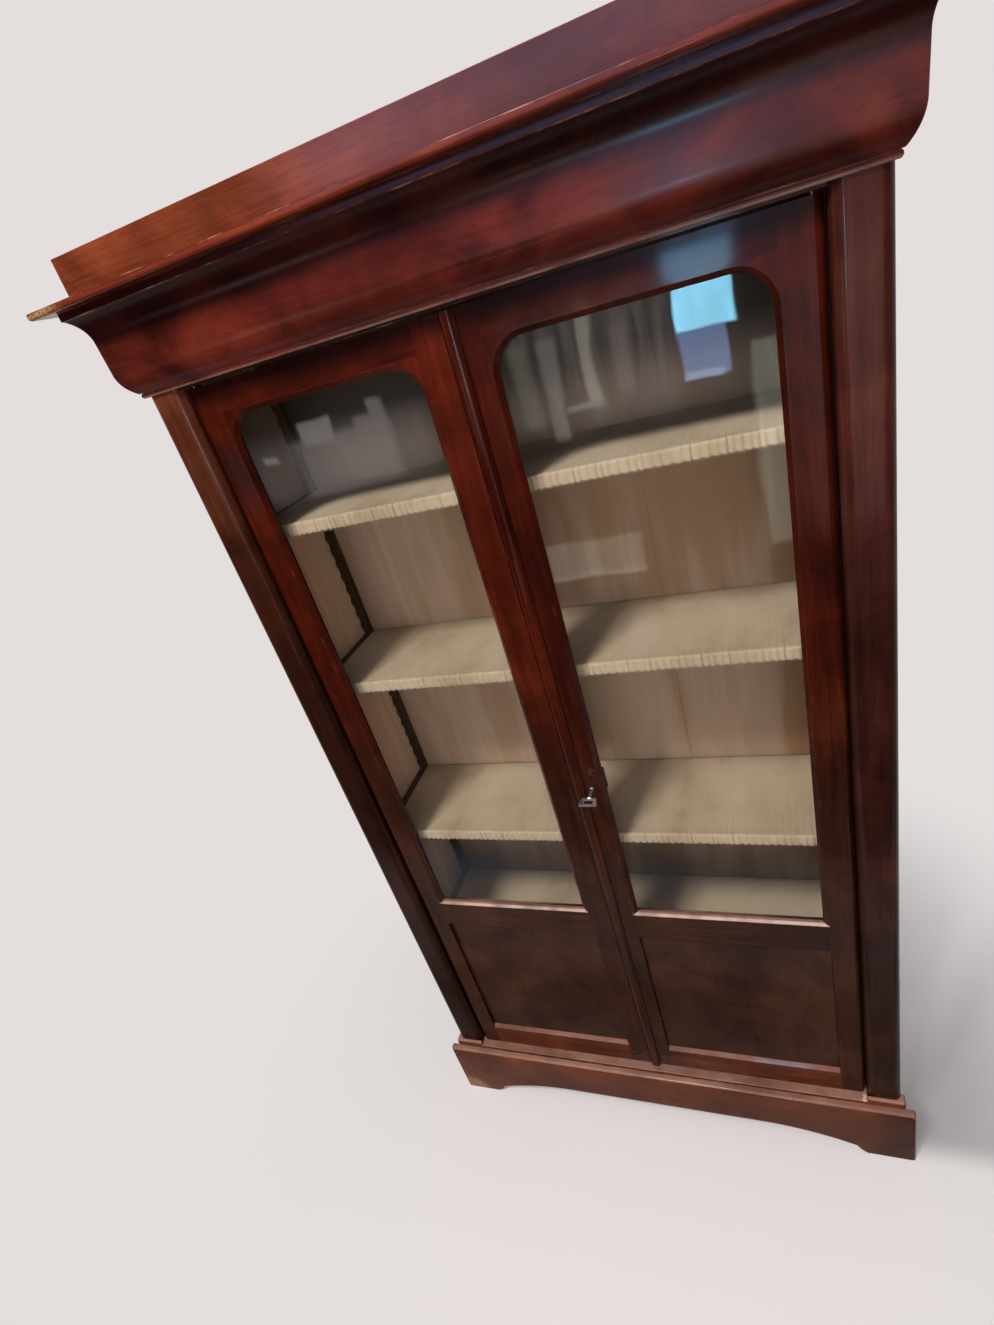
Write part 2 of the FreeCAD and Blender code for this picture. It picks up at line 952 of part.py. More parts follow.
def glazing(word, clear, front, z):
    """Sight frame with rounded top corners, the glass behind it, and its beads."""
    outer = (
        (clear[0], z[0]),
        [(clear[1], z[0]), (clear[1], z[1]), (clear[0], z[1]), (clear[0], z[0])],
    )
    w, r = S.sight_width, S.sight_radius
    left, right = clear[0] + w, clear[1] - w
    low, high = z[0] + w, z[1] - w
    inner = (
        (left, low),
        [
            (right, low),
            (right, high - r),
            (right - r, high, r, 1),
            (left + r, high),
            (left, high - r, r, 1),
            (left, low),
        ],
    )
    behind = front + S.sight_thick
    ring = outlined(
        word + "SightFrame", "XZ_Plane", [outer, inner], S.sight_thick, (0, behind, 0)
    )

    def on_inner_front(edge):
        points = [v.Point for v in edge.Vertexes]
        return all(
            abs(p.y + S.sight_thick.number) < TOUCH
            and left.number - TOUCH < p.x < right.number + TOUCH
            and low.number - TOUCH < p.z < high.number + TOUCH
            for p in points
        )

    dress(ring, "Chamfer", on_inner_front, "Size", S.sight_chamfer)
    node(ring, word + "_door_sight_frame")

    glass_y = (behind, behind + S.glass_thick)
    node(box(word + "Glass", clear, glass_y, z), word + "_door_glass")

    bead_y = (glass_y[1], glass_y[1] + S.glass_bead_thick)
    b = S.glass_bead_width
    beads = [
        box(word + "Bead0", clear, bead_y, (z[0], z[0] + b)),
        box(word + "Bead1", clear, bead_y, (z[1] - b, z[1])),
        box(word + "Bead2", (clear[0], clear[0] + b), bead_y, (z[0] + b, z[1] - b)),
        box(word + "Bead3", (clear[1] - b, clear[1]), bead_y, (z[0] + b, z[1] - b)),
    ]
    node(group(word + "GlassBeads", beads), word + "_door_glass_beads")


def lock_x():
    return S.meeting_x + S.meeting_gap / 2 + S.lock_setback


def keyhole(name, y):
    """A round hole with a slot under it, along Y."""
    return [
        rod(
            name + "Round",
            S.key_radius + S.keyhole_clearance,
            y[1] - y[0],
            (lock_x(), y[0], S.lock_height),
            "y",
        ),
        box(
            name + "Slot",
            (lock_x() - S.keyhole_slot_width / 2, lock_x() + S.keyhole_slot_width / 2),
            y,
            (S.lock_height - S.keyhole_slot, S.lock_height),
        ),
    ]


def meeting_stile(blank, word, side, foot, top):
    """The meeting stile, with the keyhole or the grooves of the slide bolts."""
    front = face_y + S.door_recess
    behind = front + S.door_thick
    if side > 0:
        tools = keyhole("Stile", (front - S.overrun, behind + S.overrun))
        return cut(word + "MeetingStile", blank, tools)
    reach = S.slide_width / 2 + S.seat_gap
    x = (slide_x() - reach, slide_x() + reach)
    y = (slide_y()[0] - S.seat_gap, behind + S.overrun)
    depth = S.slide_length + S.slide_travel
    grooves = [
        box(word + "Groove0", x, y, (foot - S.overrun, foot + depth)),
        box(word + "Groove1", x, y, (top - depth, top + S.overrun)),
    ]
    return cut(word + "MeetingStile", blank, grooves)


def astragal():
    """Half-round bead on the right door's meeting stile."""
    front = face_y + S.door_recess
    left = S.meeting_x + S.meeting_gap / 2
    foot = carcass_foot + S.sill_height + S.door_foot_gap
    top = head_foot - S.door_head_gap
    middle = left + S.astragal_width / 2
    right = left + S.astragal_width
    radius = S.astragal_radius
    plan = (
        (left, front),
        [
            (left, front - S.astragal_lip),
            (middle, front - S.astragal_out, radius, 1),
            (right, front - S.astragal_lip, radius, 1),
            (right, front),
            (left, front),
        ],
    )
    node(
        outlined("Astragal", "XY_Plane", [plan], top - foot, (0, 0, foot)),
        "right_door_astragal",
    )


def lock():
    """Lock case, its bolt, the keyhole plate and the key."""
    behind = face_y + S.door_recess + S.door_thick
    left = S.meeting_x + S.meeting_gap / 2 + S.lock_inset
    low = S.lock_height - S.lock_tall / 2
    wall = S.lock_wall
    x, y, z = (
        (left, left + S.lock_width),
        (behind, behind + S.lock_thick),
        (low, low + S.lock_tall),
    )
    outer = box("LockOuter", x, y, z)
    hollow = box(
        "LockHollow",
        (x[0] + wall, x[1] - wall),
        (y[0] + wall, y[1] - wall),
        (z[0] + wall, z[1] - wall),
    )
    half_tall, half_thick = S.bolt_bar_tall / 2, S.bolt_bar_thick / 2
    bolt_z = z[1] - wall - S.bolt_bar_top_gap - half_tall
    bolt_y = y[0] + wall + S.seat_gap + half_thick
    mouth = box(
        "LockMouth",
        (x[0] - S.overrun, x[0] + wall + S.overrun),
        (bolt_y - half_thick - S.seat_gap, bolt_y + half_thick + S.seat_gap),
        (bolt_z - half_tall - S.seat_gap, bolt_z + half_tall + S.seat_gap),
    )
    bore = rod(
        "LockBore",
        S.key_radius + S.key_clearance,
        wall + S.overrun * 2,
        (lock_x(), y[0] - S.overrun, S.lock_height),
        "y",
    )
    node(cut("LockCase", outer, [hollow, mouth, bore]), "lock_case")

    bar = box(
        "LockBoltBar",
        (x[0] + S.bolt_bar_inset, x[1] - S.bolt_bar_room),
        (bolt_y - half_thick, bolt_y + half_thick),
        (bolt_z - half_tall, bolt_z + half_tall),
    )
    node(bar, "lock_bolt")

    front = face_y + S.door_recess
    plate = box(
        "KeyPlateBlank",
        (lock_x() - S.plate_width / 2, lock_x() + S.plate_width / 2),
        (front - S.plate_thick, front),
        (S.lock_height + S.plate_above - S.plate_tall, S.lock_height + S.plate_above),
    )
    tools = keyhole("Plate", (front - S.overrun, front + S.overrun))
    node(cut("KeyPlate", plate, tools), "keyhole_plate")

    bow_start = front - S.key_out
    tip = y[1] - wall - S.key_tip_gap
    shaft = rod(
        "KeyShaft",
        S.key_radius,
        tip - bow_start,
        (lock_x(), bow_start, S.lock_height),
        "y",
    )
    reach = bolt_z - half_tall - S.key_bit_gap - S.lock_height
    bit = box(
        "KeyBit",
        (lock_x(), lock_x() + reach),
        (tip - S.key_tip_bare - S.key_bit_length, tip - S.key_tip_bare),
        (S.lock_height - S.key_bit_thick / 2, S.lock_height + S.key_bit_thick / 2),
    )
    near, far, bar_w = S.bow_near / 2, S.bow_far / 2, S.bow_bar
    deep = S.bow_depth
    rim = (
        (-near, 0),
        [(-far, -deep), (far, -deep), (near, 0), (-near, 0)],
    )
    hole = (
        (-near + bar_w, -bar_w),
        [
            (-near + bar_w, -deep + bar_w),
            (near - bar_w, -deep + bar_w),
            (near - bar_w, -bar_w),
            (-near + bar_w, -bar_w),
        ],
    )
    bow = outlined(
        "KeyBow",
        "XY_Plane",
        [rim, hole],
        S.bow_bar,
        (lock_x(), bow_start + S.bow_bar / 2, S.lock_height - S.bow_bar / 2),
    )
    dress(bow, "Fillet", upright, "Radius", S.bow_round)
    collar_back = front - S.plate_thick - S.key_collar_gap
    collars = [
        rod(
            "KeyCollar%d" % count,
            S.key_collar_radius,
            S.key_collar_length,
            (lock_x(), start, S.lock_height),
            "y",
        )
        for count, start in enumerate(
            (collar_back - S.key_collar_length, bow_start + S.bow_bar / 2)
        )
    ]
    node(fuse("Key", [shaft, bit, bow, *collars]), "key")


def slide_bolts():
    """Two bolts in the back of the left meeting stile, and their covers."""
    foot = carcass_foot + S.sill_height + S.door_foot_gap
    top = head_foot - S.door_head_gap
    x = (slide_x() - S.slide_width / 2, slide_x() + S.slide_width / 2)
    y = slide_y()
    behind = face_y + S.door_recess + S.door_thick
    cover_y = (behind, behind + S.slide_cover)
    cover_x = (
        slide_x() - S.slide_cover_width / 2,
        slide_x() + S.slide_cover_width / 2,
    )
    inset = S.slide_inset
    spans = {
        "bottom": (foot + inset, foot + inset + S.slide_length),
        "top": (top - inset - S.slide_length, top - inset),
    }
    covers = []
    for word, z in spans.items():
        outward = -1 if word == "bottom" else 1
        knob_z = (z[0] + z[1]) / 2
        bar = box("SlideBar_" + word, x, y, z)
        knob = rod(
            "SlideKnob_" + word,
            S.slide_knob_radius,
            S.slide_inset + S.slide_cover + S.slide_knob_out,
            (slide_x(), y[1], knob_z),
            "y",
        )
        node(fuse("Slide_" + word, [bar, knob]), "slide_bolt_" + word)
        reach = S.slide_cover_length / 2
        plate = box(
            "SlideCoverBlank_" + word, cover_x, cover_y, (knob_z - reach, knob_z + reach)
        )
        slack = S.slide_knob_radius + S.seat_gap
        ends = sorted(
            (knob_z, knob_z + S.slide_travel * outward), key=lambda size: size.number
        )
        window = box(
            "SlideWindow_" + word,
            (slide_x() - slack, slide_x() + slack),
            (cover_y[0] - S.overrun, cover_y[1] + S.overrun),
            (ends[0] - slack, ends[1] + slack),
        )
        covers.append(cut("SlideCover_" + word, plate, [window]))
    node(group("SlideCovers", covers), "slide_bolt_covers")


def notch_count():
    room = ceiling - floor_top - S.notch_first - S.notch_top_margin
    return (room / S.notch_pitch).below()


def rack(name, x, y, opens):
    """A notched post; the notches open towards +Y or -Y."""
    blank = doc.addObject("PartDesign::Body", name)
    sketch = blank.newObject("Sketcher::SketchObject", name + "_plan")
    plane = [f for f in blank.Origin.OriginFeatures if f.Role == "XY_Plane"][0]
    sketch.AttachmentSupport = [(plane, "")]
    sketch.MapMode = "FlatFace"
    draw(sketch, (x[0], y[0]), [(x[1], y[0]), (x[1], y[1]), (x[0], y[1]), (x[0], y[0])])
    pad = blank.newObject("PartDesign::Pad", name + "_pad")
    pad.Profile = sketch
    bind(pad, "Length", ceiling - floor_top)
    cutter = blank.newObject("Sketcher::SketchObject", name + "_notch")
    cutter.AttachmentSupport = [(plane, "")]
    cutter.MapMode = "FlatFace"
    bind(cutter, "AttachmentOffset.Base.z", S.notch_first)
    edge = (y[1] - S.notch_depth, y[1]) if opens > 0 else (y[0], y[0] + S.notch_depth)
    draw(
        cutter,
        (x[0], edge[0]),
        [(x[1], edge[0]), (x[1], edge[1]), (x[0], edge[1]), (x[0], edge[0])],
    )
    doc.recompute()
    pocket = blank.newObject("PartDesign::Pocket", name + "_pocket")
    pocket.Profile = cutter
    bind(pocket, "Length", S.bearer_height + S.notch_slack)
    pocket.Reversed = True
    pattern = blank.newObject("PartDesign::LinearPattern", name + "_pattern")
    pattern.Originals = [pocket]
    up = [f for f in blank.Origin.OriginFeatures if f.Role == "Z_Axis"][0]
    pattern.Direction = (up, [""])
    bind(pattern, "Length", S.notch_pitch * (notch_count() - 1))
    bind(pattern, "Occurrences", notch_count())
    blank.Tip = pattern
    bind(blank, "Placement.Base.z", floor_top)
    doc.recompute()
    return blank


def shelves():
    """Racks in the four corners, bearers in their notches, shelves, linings."""
    rack_x = (side_inner - S.rack_width, side_inner)
    rack_front = shelf_front + S.rack_setback
    front_y = (rack_front, rack_front + S.rack_depth)
    rear_y = (board_back - S.rack_depth, board_back)
    racks = []
    for side, word in ((-1, "Left"), (1, "Right")):
        x = mirrored(rack_x, side)
        racks.append(rack("Rack%sFront" % word, x, front_y, 1))
        racks.append(rack("Rack%sRear" % word, x, rear_y, -1))
    node(group("Racks", racks), "shelf_racks")

    slack = S.shelf_side_gap
    bearers = []
    shares = (S.shelf_1_share, S.shelf_2_share, S.shelf_3_share, S.shelf_4_share)
    bearer_y = (front_y[1] - S.notch_depth, rear_y[0] + S.notch_depth)
    for count, share in enumerate(shares, start=1):
        notch = (notch_count() * share).whole()
        seat = floor_top + S.notch_first + S.notch_pitch * notch
        under = seat + S.bearer_height
        for side in (-1, 1):
            x = mirrored((rack_x[1] - slack - S.bearer_width, rack_x[1] - slack), side)
            bearers.append(box("Bearer%d_%d" % (count, side > 0), x, bearer_y, (seat, under)))
        edge = side_inner - slack
        blank = box(
            "ShelfBlank%d" % count,
            (-edge, edge),
            (shelf_front, board_back - slack),
            (under, under + S.shelf_thick),
        )
        corners = [
            box(
                "ShelfCorner%d_%d_%d" % (count, side > 0, place),
                mirrored((rack_x[0] - slack, rack_x[1] + slack), side),
                (y[0] - slack, y[1] + slack),
                (under - S.overrun, under + S.shelf_thick + S.overrun),
            )
            for side in (-1, 1)
            for place, y in enumerate((front_y, rear_y))
        ]
        node(cut("Shelf%d" % count, blank, corners), "shelf_%d" % count)
        node(lining(count, under + S.shelf_thick), "shelf_lining_%d" % count)
    node(group("Bearers", bearers), "shelf_bearers")


def lining(count, top):
    """Cloth over a shelf, with a folded valance that hangs before its edge."""
    width = number(side_inner - S.rack_width - S.shelf_side_gap) * 2
    shelf_y = number(shelf_front)
    rear = number(board_back - S.cloth_back_gap)
    thick, drop = S.cloth_thick.number, S.cloth_drop.number
    back = shelf_y - S.seat_gap.number
    front = back - thick
    folds = int(S.cloth_folds.number)
    pitch = width / folds
    level = number(top) + thick - drop
    corner = FreeCAD.Vector(-width / 2, back, level)
    edges = [Part.LineSegment(corner, FreeCAD.Vector(-width / 2, front, level)).toShape()]
    for fold in range(folds):
        a = FreeCAD.Vector(-width / 2 + pitch * fold, front, level)
        b = a + FreeCAD.Vector(pitch, 0, 0)
        crest = (a + b) * 0.5 - FreeCAD.Vector(0, S.cloth_fold.number, 0)
        edges.append(Part.Arc(a, crest, b).toShape())
    end = FreeCAD.Vector(width / 2, back, level)
    edges.append(Part.LineSegment(FreeCAD.Vector(width / 2, front, level), end).toShape())
    edges.append(Part.LineSegment(end, corner).toShape())
    valance = Part.Face(Part.Wire(edges)).extrude(FreeCAD.Vector(0, 0, drop))
    flat = Part.makeBox(
        width, rear - back, thick, FreeCAD.Vector(-width / 2, back, number(top))
    )
    cloth = doc.addObject("Part::Feature", "Lining%d" % count)
    cloth.Shape = valance.fuse(flat)
    cloth.Placement = FreeCAD.Placement()
    return cloth


plinth()
carcass()
sill_and_head()
attic(cornice())
door(-1, "left", S.left_meeting_width)
door(1, "right", S.right_meeting_width)
astragal()
lock()
slide_bolts()
shelves()
doc.recompute()

failed = [thing.Name for thing in doc.Objects if {"Invalid", "Error"} & set(thing.State)]
for thing in NODES:
    if thing.Shape.isNull() or not thing.Shape.isValid() or not thing.Shape.Solids:
        failed.append(thing.Label)
if failed:
    raise SystemExit("failed objects: " + ", ".join(failed))

os.makedirs("parts", exist_ok=True)
for thing in NODES:
    thing.Shape.exportStep(os.path.join("parts", thing.Label + ".step"))
print("wrote", len(NODES), "sub-parts")
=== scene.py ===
"""Looks of a two-door glazed display cabinet in polished mahogany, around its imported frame."""
import math
import random
from collections import namedtuple

import bpy
from mathutils import Matrix, Vector


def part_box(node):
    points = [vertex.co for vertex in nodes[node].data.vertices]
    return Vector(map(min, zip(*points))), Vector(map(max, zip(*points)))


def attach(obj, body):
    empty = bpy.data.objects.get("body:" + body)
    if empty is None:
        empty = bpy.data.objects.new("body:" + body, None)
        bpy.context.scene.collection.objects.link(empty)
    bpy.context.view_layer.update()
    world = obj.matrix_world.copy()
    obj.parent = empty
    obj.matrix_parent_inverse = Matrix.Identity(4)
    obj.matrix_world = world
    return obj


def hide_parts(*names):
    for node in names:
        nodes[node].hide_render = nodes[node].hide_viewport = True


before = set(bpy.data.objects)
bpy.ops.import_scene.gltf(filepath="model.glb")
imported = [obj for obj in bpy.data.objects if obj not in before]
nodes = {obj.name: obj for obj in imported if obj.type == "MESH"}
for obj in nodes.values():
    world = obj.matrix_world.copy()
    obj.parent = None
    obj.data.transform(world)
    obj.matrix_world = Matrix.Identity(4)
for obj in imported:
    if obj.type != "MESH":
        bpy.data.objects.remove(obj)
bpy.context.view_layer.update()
random.seed(7)

MM = 0.001
X, Y, Z = range(3)
SIDES = ("left", "right")


# Node trees

# A noise, and how far it is squeezed across the grain where it has one.
Noise = namedtuple("Noise", "scale detail roughness distortion across", defaults=(0.5, 0, 1))

STANDING, LYING = 0.35, 0.9  # upward part of the normal, from upright faces to level ones


class Shader:
    """A material, or the world, whose nodes are added by short calls.

    Patterns run in the part's own frame, in metres.
    """

    def __init__(self, name, world=False):
        self.material = (bpy.data.worlds if world else bpy.data.materials).new(name)
        self.material.use_nodes = True
        self.tree = self.material.node_tree
        self.tree.nodes.clear()
        self.output = self.node("ShaderNodeOutputWorld" if world else "ShaderNodeOutputMaterial")
        self.coordinates = self.node("ShaderNodeTexCoord")
        self.place = self.coordinates.outputs["Object"]

    def node(self, kind, inputs=None, **settings):
        made = self.tree.nodes.new(kind)
        for key, value in settings.items():
            setattr(made, key, value)
        for key, value in (inputs or {}).items():
            self.wire(made, key, value)
        return made

    def wire(self, node, key, value):
        if isinstance(value, bpy.types.NodeSocket):
            self.tree.links.new(value, node.inputs[key])
        else:
            node.inputs[key].default_value = value

    def split(self, vector):
        return self.node("ShaderNodeSeparateXYZ", {0: vector}).outputs

    def stretched(self, factors, shift=(0, 0, 0)):
        """The frame's coordinates times factors, then shifted."""
        sockets = {0: self.place, 1: factors, 2: shift}
        return self.node("ShaderNodeVectorMath", sockets, operation="MULTIPLY_ADD").outputs[0]

    def noise(self, kind, place):
        sockets = {
            "Vector": place,
            "Scale": kind.scale,
            "Detail": kind.detail,
            "Roughness": kind.roughness,
            "Distortion": kind.distortion,
        }
        return self.node("ShaderNodeTexNoise", sockets).outputs[0]

    def grain(self, kind, run, shift):
        """A noise drawn out along the axis run."""
        factors = tuple(1.0 if axis == run else kind.across for axis in range(3))
        return self.noise(kind, self.stretched(factors, shift))

    def math(self, operation, a, b=0.0, c=0.0):
        return self.node("ShaderNodeMath", {0: a, 1: b, 2: c}, operation=operation).outputs[0]

    def product(self, first, *others):
        for other in others:
            first = self.math("MULTIPLY", first, other)
        return first

    def swing(self, pattern, strength, base):
        """base, raised and lowered by a pattern that lies around one half."""
        return self.math("MULTIPLY_ADD", self.math("SUBTRACT", pattern, 0.5), strength, base)

    def span(self, value, low, high, to_low=0.0, to_high=1.0, smooth=True):
        """value's range low to high, carried over to another and held at its ends."""
        kind = "SMOOTHSTEP" if smooth else "LINEAR"
        sockets = {0: value, 1: low, 2: high, 3: to_low, 4: to_high}
        return self.node("ShaderNodeMapRange", sockets, interpolation_type=kind).outputs[0]

    def fall(self, value, low, high):
        """1 up to low, falling to 0 at high."""
        return self.span(value, low, high, to_low=1.0, to_high=0.0)

    def band(self, value, start, end, soft):
        """1 between start and end, 0 outside, with soft edges."""
        return self.product(
            self.span(value, start - soft, start + soft),
            self.fall(value, end - soft, end + soft),
        )

    def close_to(self, point, reach, soft):
        """1 within reach of a point of the frame, falling to 0 over soft."""
        sockets = {0: self.place, 1: point}
        away = self.node("ShaderNodeVectorMath", sockets, operation="DISTANCE").outputs["Value"]
        return self.fall(away, reach, reach + soft)

    def facing_up(self):
        """1 where the surface lies level and faces up, 0 where it stands."""
        normal = self.node("ShaderNodeNewGeometry").outputs["Normal"]
        return self.span(self.split(normal)[Z], STANDING, LYING)

    def ramp(self, value, stops):
        made = self.node("ShaderNodeValToRGB", {0: value})
        elements = made.color_ramp.elements
        while len(elements) < len(stops):
            elements.new(1)
        for element, (place, colour) in zip(elements, stops):
            element.position = place
            element.color = (*colour, 1)
        return made.outputs[0]

    def mix(self, share, a, b, kind="MIX"):
        made = self.node("ShaderNodeMix", data_type="RGBA", blend_type=kind)
        for key, value in ((0, share), (6, a), (7, b)):
            if isinstance(value, tuple):
                value = (*value, 1)
            self.wire(made, key, value)
        return made.outputs[2]

    def times(self, colour, value):
        """A colour multiplied by a plain value."""
        grey = self.node("ShaderNodeCombineColor", {0: value, 1: value, 2: value}).outputs[0]
        return self.mix(1.0, colour, grey, "MULTIPLY")

    def bump(self, height, depth, normal=None):
        """Relief whose full height is depth, in metres."""
        sockets = {"Height": height, "Strength": 1.0, "Distance": depth}
        if normal is not None:
            sockets["Normal"] = normal
        return self.node("ShaderNodeBump", sockets).outputs[0]

    def emission(self, colour):
        return self.node("ShaderNodeEmission", {"Color": colour, "Strength": 1.0})

    def blended(self, share, first, second):
        """Two shader nodes, mixed by a share."""
        sockets = {0: share, 1: first.outputs[0], 2: second.outputs[0]}
        return self.node("ShaderNodeMixShader", sockets)

    def shows(self, node):
        """Makes a shader node what the material, or the world, shows."""
        self.tree.links.new(node.outputs[0], self.output.inputs[0])
        return self.material

    def principled(self, colour, roughness, normal, **uniform):
        sockets = {"Base Color": colour, "Roughness": roughness, "Normal": normal}
        for key, value in uniform.items():
            sockets[key.replace("_", " ")] = value
        return self.shows(self.node("ShaderNodeBsdfPrincipled", sockets))


# Wood

# Each tone is its dark streaks, its body and its light streaks.
# The attic's tone is partly painted light: brighter than the others for the strong light on the
# top.
ATTIC = ((0.094, 0.019, 0.008), (0.205, 0.044, 0.018), (0.30, 0.074, 0.025))
CORNICE = ((0.035, 0.005, 0.0035), (0.094, 0.013, 0.008), (0.155, 0.023, 0.012))
CAP = ((0.075, 0.012, 0.006), (0.165, 0.027, 0.012), (0.24, 0.046, 0.016))
SHADED = ((0.010, 0.003, 0.002), (0.022, 0.006, 0.003), (0.040, 0.010, 0.005))
SMOKED = ((0.034, 0.018, 0.008), (0.060, 0.033, 0.015), (0.090, 0.052, 0.025))
RED = ((0.016, 0.002, 0.001), (0.044, 0.005, 0.0015), (0.084, 0.010, 0.003))
LIT_RED = ((0.024, 0.003, 0.0012), (0.066, 0.0075, 0.0022), (0.118, 0.015, 0.0045))
FOOT_RED = ((0.040, 0.008, 0.003), (0.100, 0.022, 0.009), (0.150, 0.038, 0.016))
BROWN = ((0.018, 0.005, 0.002), (0.043, 0.012, 0.005), (0.072, 0.022, 0.009))
RUSSET = ((0.026, 0.006, 0.004), (0.058, 0.014, 0.009), (0.092, 0.025, 0.017))
STILE = ((0.050, 0.011, 0.005), (0.120, 0.030, 0.013), (0.185, 0.052, 0.022))
FLAME = ((0.025, 0.008, 0.004), (0.046, 0.017, 0.009), (0.070, 0.027, 0.014))
PLINTH = ((0.076, 0.021, 0.010), (0.134, 0.036, 0.015), (0.190, 0.054, 0.022))
OAK = ((0.045, 0.026, 0.014), (0.085, 0.052, 0.030), (0.13, 0.085, 0.050))
GRAIN_STOPS = (0.28, 0.50, 0.74)
BARE_STOPS = (0.3, 0.5, 0.72)

WORN = (0.33, 0.15, 0.095)
# the pale colour of dust, which also serves as a painted highlight on faces that look up
DUSTY_HIGHLIGHT = (0.56, 0.33, 0.26)
TAN = (0.42, 0.26, 0.13)
# painted highlight along the cornice's foot bead
BEAD_HIGHLIGHT = (0.36, 0.23, 0.175)
# painted highlight along the glazing's lower edge
GLAZING_FOOT_HIGHLIGHT = (0.56, 0.43, 0.35)
WHITE_SPOT = (0.75, 0.68, 0.62)

STREAKS = Noise(scale=4.0, detail=8, roughness=0.62, distortion=0.8, across=16.0)
FINE_STREAKS = Noise(scale=9.0, detail=4, roughness=0.6, across=40.0)
PORES = Noise(scale=60.0, detail=2, across=14.0)
WAVES = Noise(scale=3.0, detail=2, roughness=0.4, across=2.5)
CLOUDS = Noise(scale=5.5, detail=3, roughness=0.55, distortion=1.2)
WIDE_CLOUDS = Noise(scale=1.9, detail=2)
PATCHES = Noise(scale=3.1, detail=4, roughness=0.6, distortion=0.5)
HIGHLIGHT_PATCHES = Noise(scale=14.0, detail=4, roughness=0.6)
CRUMBS = Noise(scale=260.0, detail=3, roughness=0.7)
DUST_AND_HIGHLIGHT_PATCHES = Noise(scale=7.0, detail=5, roughness=0.65)
WIPES = Noise(scale=11.0, detail=4, roughness=0.65, distortion=0.6)
EDGE_WEAR = Noise(scale=22.0, detail=4, roughness=0.6)
EDGE_CHIPS = Noise(scale=180.0, detail=3, roughness=0.6)
BARE_STREAKS = Noise(scale=5.0, detail=7, roughness=0.6, distortion=0.4, across=20.0)

FINE_STRENGTH = 0.30  # of the fine streaks, beside the broad ones
CLOUD_STRENGTH = 0.45
PORE_STRENGTH = 0.45
DUST_AND_HIGHLIGHT_STRENGTH = 0.55
TONE_WANDER = 0.8  # how far, in metres, the change to a lower tone wanders up and down
SHELLAC_IOR = 1.3

# Painted light and shade: a stretch over which the colour goes from itself at start to itself times
# factor at end.
PaintedShading = namedtuple("PaintedShading", "axis start end factor")
# A painted highlight: a pale band between two levels.
PaintedHighlight = namedtuple("PaintedHighlight", "axis start end soft colour strength")
# A spot of another colour with a ragged edge, such as a spot of wear.
Mark = namedtuple("Mark", "point reach soft colour strength")
# The tone that takes over between two heights, towards the foot.
Low = namedtuple("Low", "tone start end")


def wood(
    name, tone, run, seed, figure=0.0, gloss=0.30, polish=0.35, haze=0.07, streaky=0.7,
    marks=(), painted_shading=(), painted_highlights=(), low=None,
):
    """Polished mahogany whose grain runs along an axis.

    figure adds the cloudy flame of a cut veneer, streaky is the strength of the grain, gloss the
    wood's own roughness, and polish and haze are those of the shellac over it.
    """
    s = Shader(name)
    place = s.split(s.place)
    shift = (seed * 1.7, seed * 2.3, seed * 3.1)
    even = s.stretched((1, 1, 1), shift)

    value = s.swing(s.grain(STREAKS, run, shift), streaky, 0.5)
    value = s.swing(s.grain(FINE_STREAKS, run, shift), FINE_STRENGTH, value)
    value = s.swing(s.noise(CLOUDS, even), CLOUD_STRENGTH + figure, value)
    colour = s.ramp(value, tuple(zip(GRAIN_STOPS, tone)))
    if low:
        lower = s.ramp(value, tuple(zip(GRAIN_STOPS, low.tone)))
        height = s.swing(s.noise(WIDE_CLOUDS, even), TONE_WANDER, place[Z])
        colour = s.mix(s.span(height, low.end, low.start), lower, colour)
    patchy = s.span(s.noise(PATCHES, even), 0.32, 0.68, to_low=0.62, to_high=1.2)
    colour = s.times(colour, patchy)
    pores = s.span(s.grain(PORES, run, shift), 0.60, 0.68)
    colour = s.mix(s.product(pores, PORE_STRENGTH), colour, tone[0])

    # painted light and shade: the colour multiplied along each stretch
    for axis, start, end, factor in painted_shading:
        before, after = (1.0, factor) if start < end else (factor, 1.0)
        lit = s.span(place[axis], min(start, end), max(start, end), before, after)
        colour = s.times(colour, lit)
    # painted highlights: pale bands, broken up in patches
    for axis, start, end, soft, pale, strength in painted_highlights:
        patchy_highlight = s.span(s.noise(HIGHLIGHT_PATCHES, even), 0.3, 0.6, to_low=0.35)
        share = s.product(s.band(place[axis], start, end, soft), patchy_highlight, strength)
        colour = s.mix(share, colour, pale)
    for point, reach, soft, pale, strength in marks:
        ragged = s.span(s.noise(CRUMBS, s.place), 0.36, 0.55)
        share = s.product(s.close_to(point, reach, soft), ragged, strength)
        colour = s.mix(share, colour, pale)
    # dust and a painted highlight on faces that look up
    dust_and_highlight = s.span(s.noise(DUST_AND_HIGHLIGHT_PATCHES, even), 0.3, 0.7, to_low=0.35)
    colour = s.mix(s.product(s.facing_up(), dust_and_highlight, DUST_AND_HIGHLIGHT_STRENGTH), colour, DUSTY_HIGHLIGHT)

    wiped = s.noise(WIPES, even)
    normal = s.bump(s.grain(WAVES, run, shift), 1.6 * MM)
    return s.principled(
        colour,
        s.span(wiped, 0.3, 0.75, to_low=gloss - 0.05, to_high=gloss + 0.12),
        s.bump(pores, -0.05 * MM, normal),
        Specular_IOR_Level=0.06,
        Coat_Weight=polish,
        Coat_Roughness=haze,
        Coat_IOR=SHELLAC_IOR,
    )


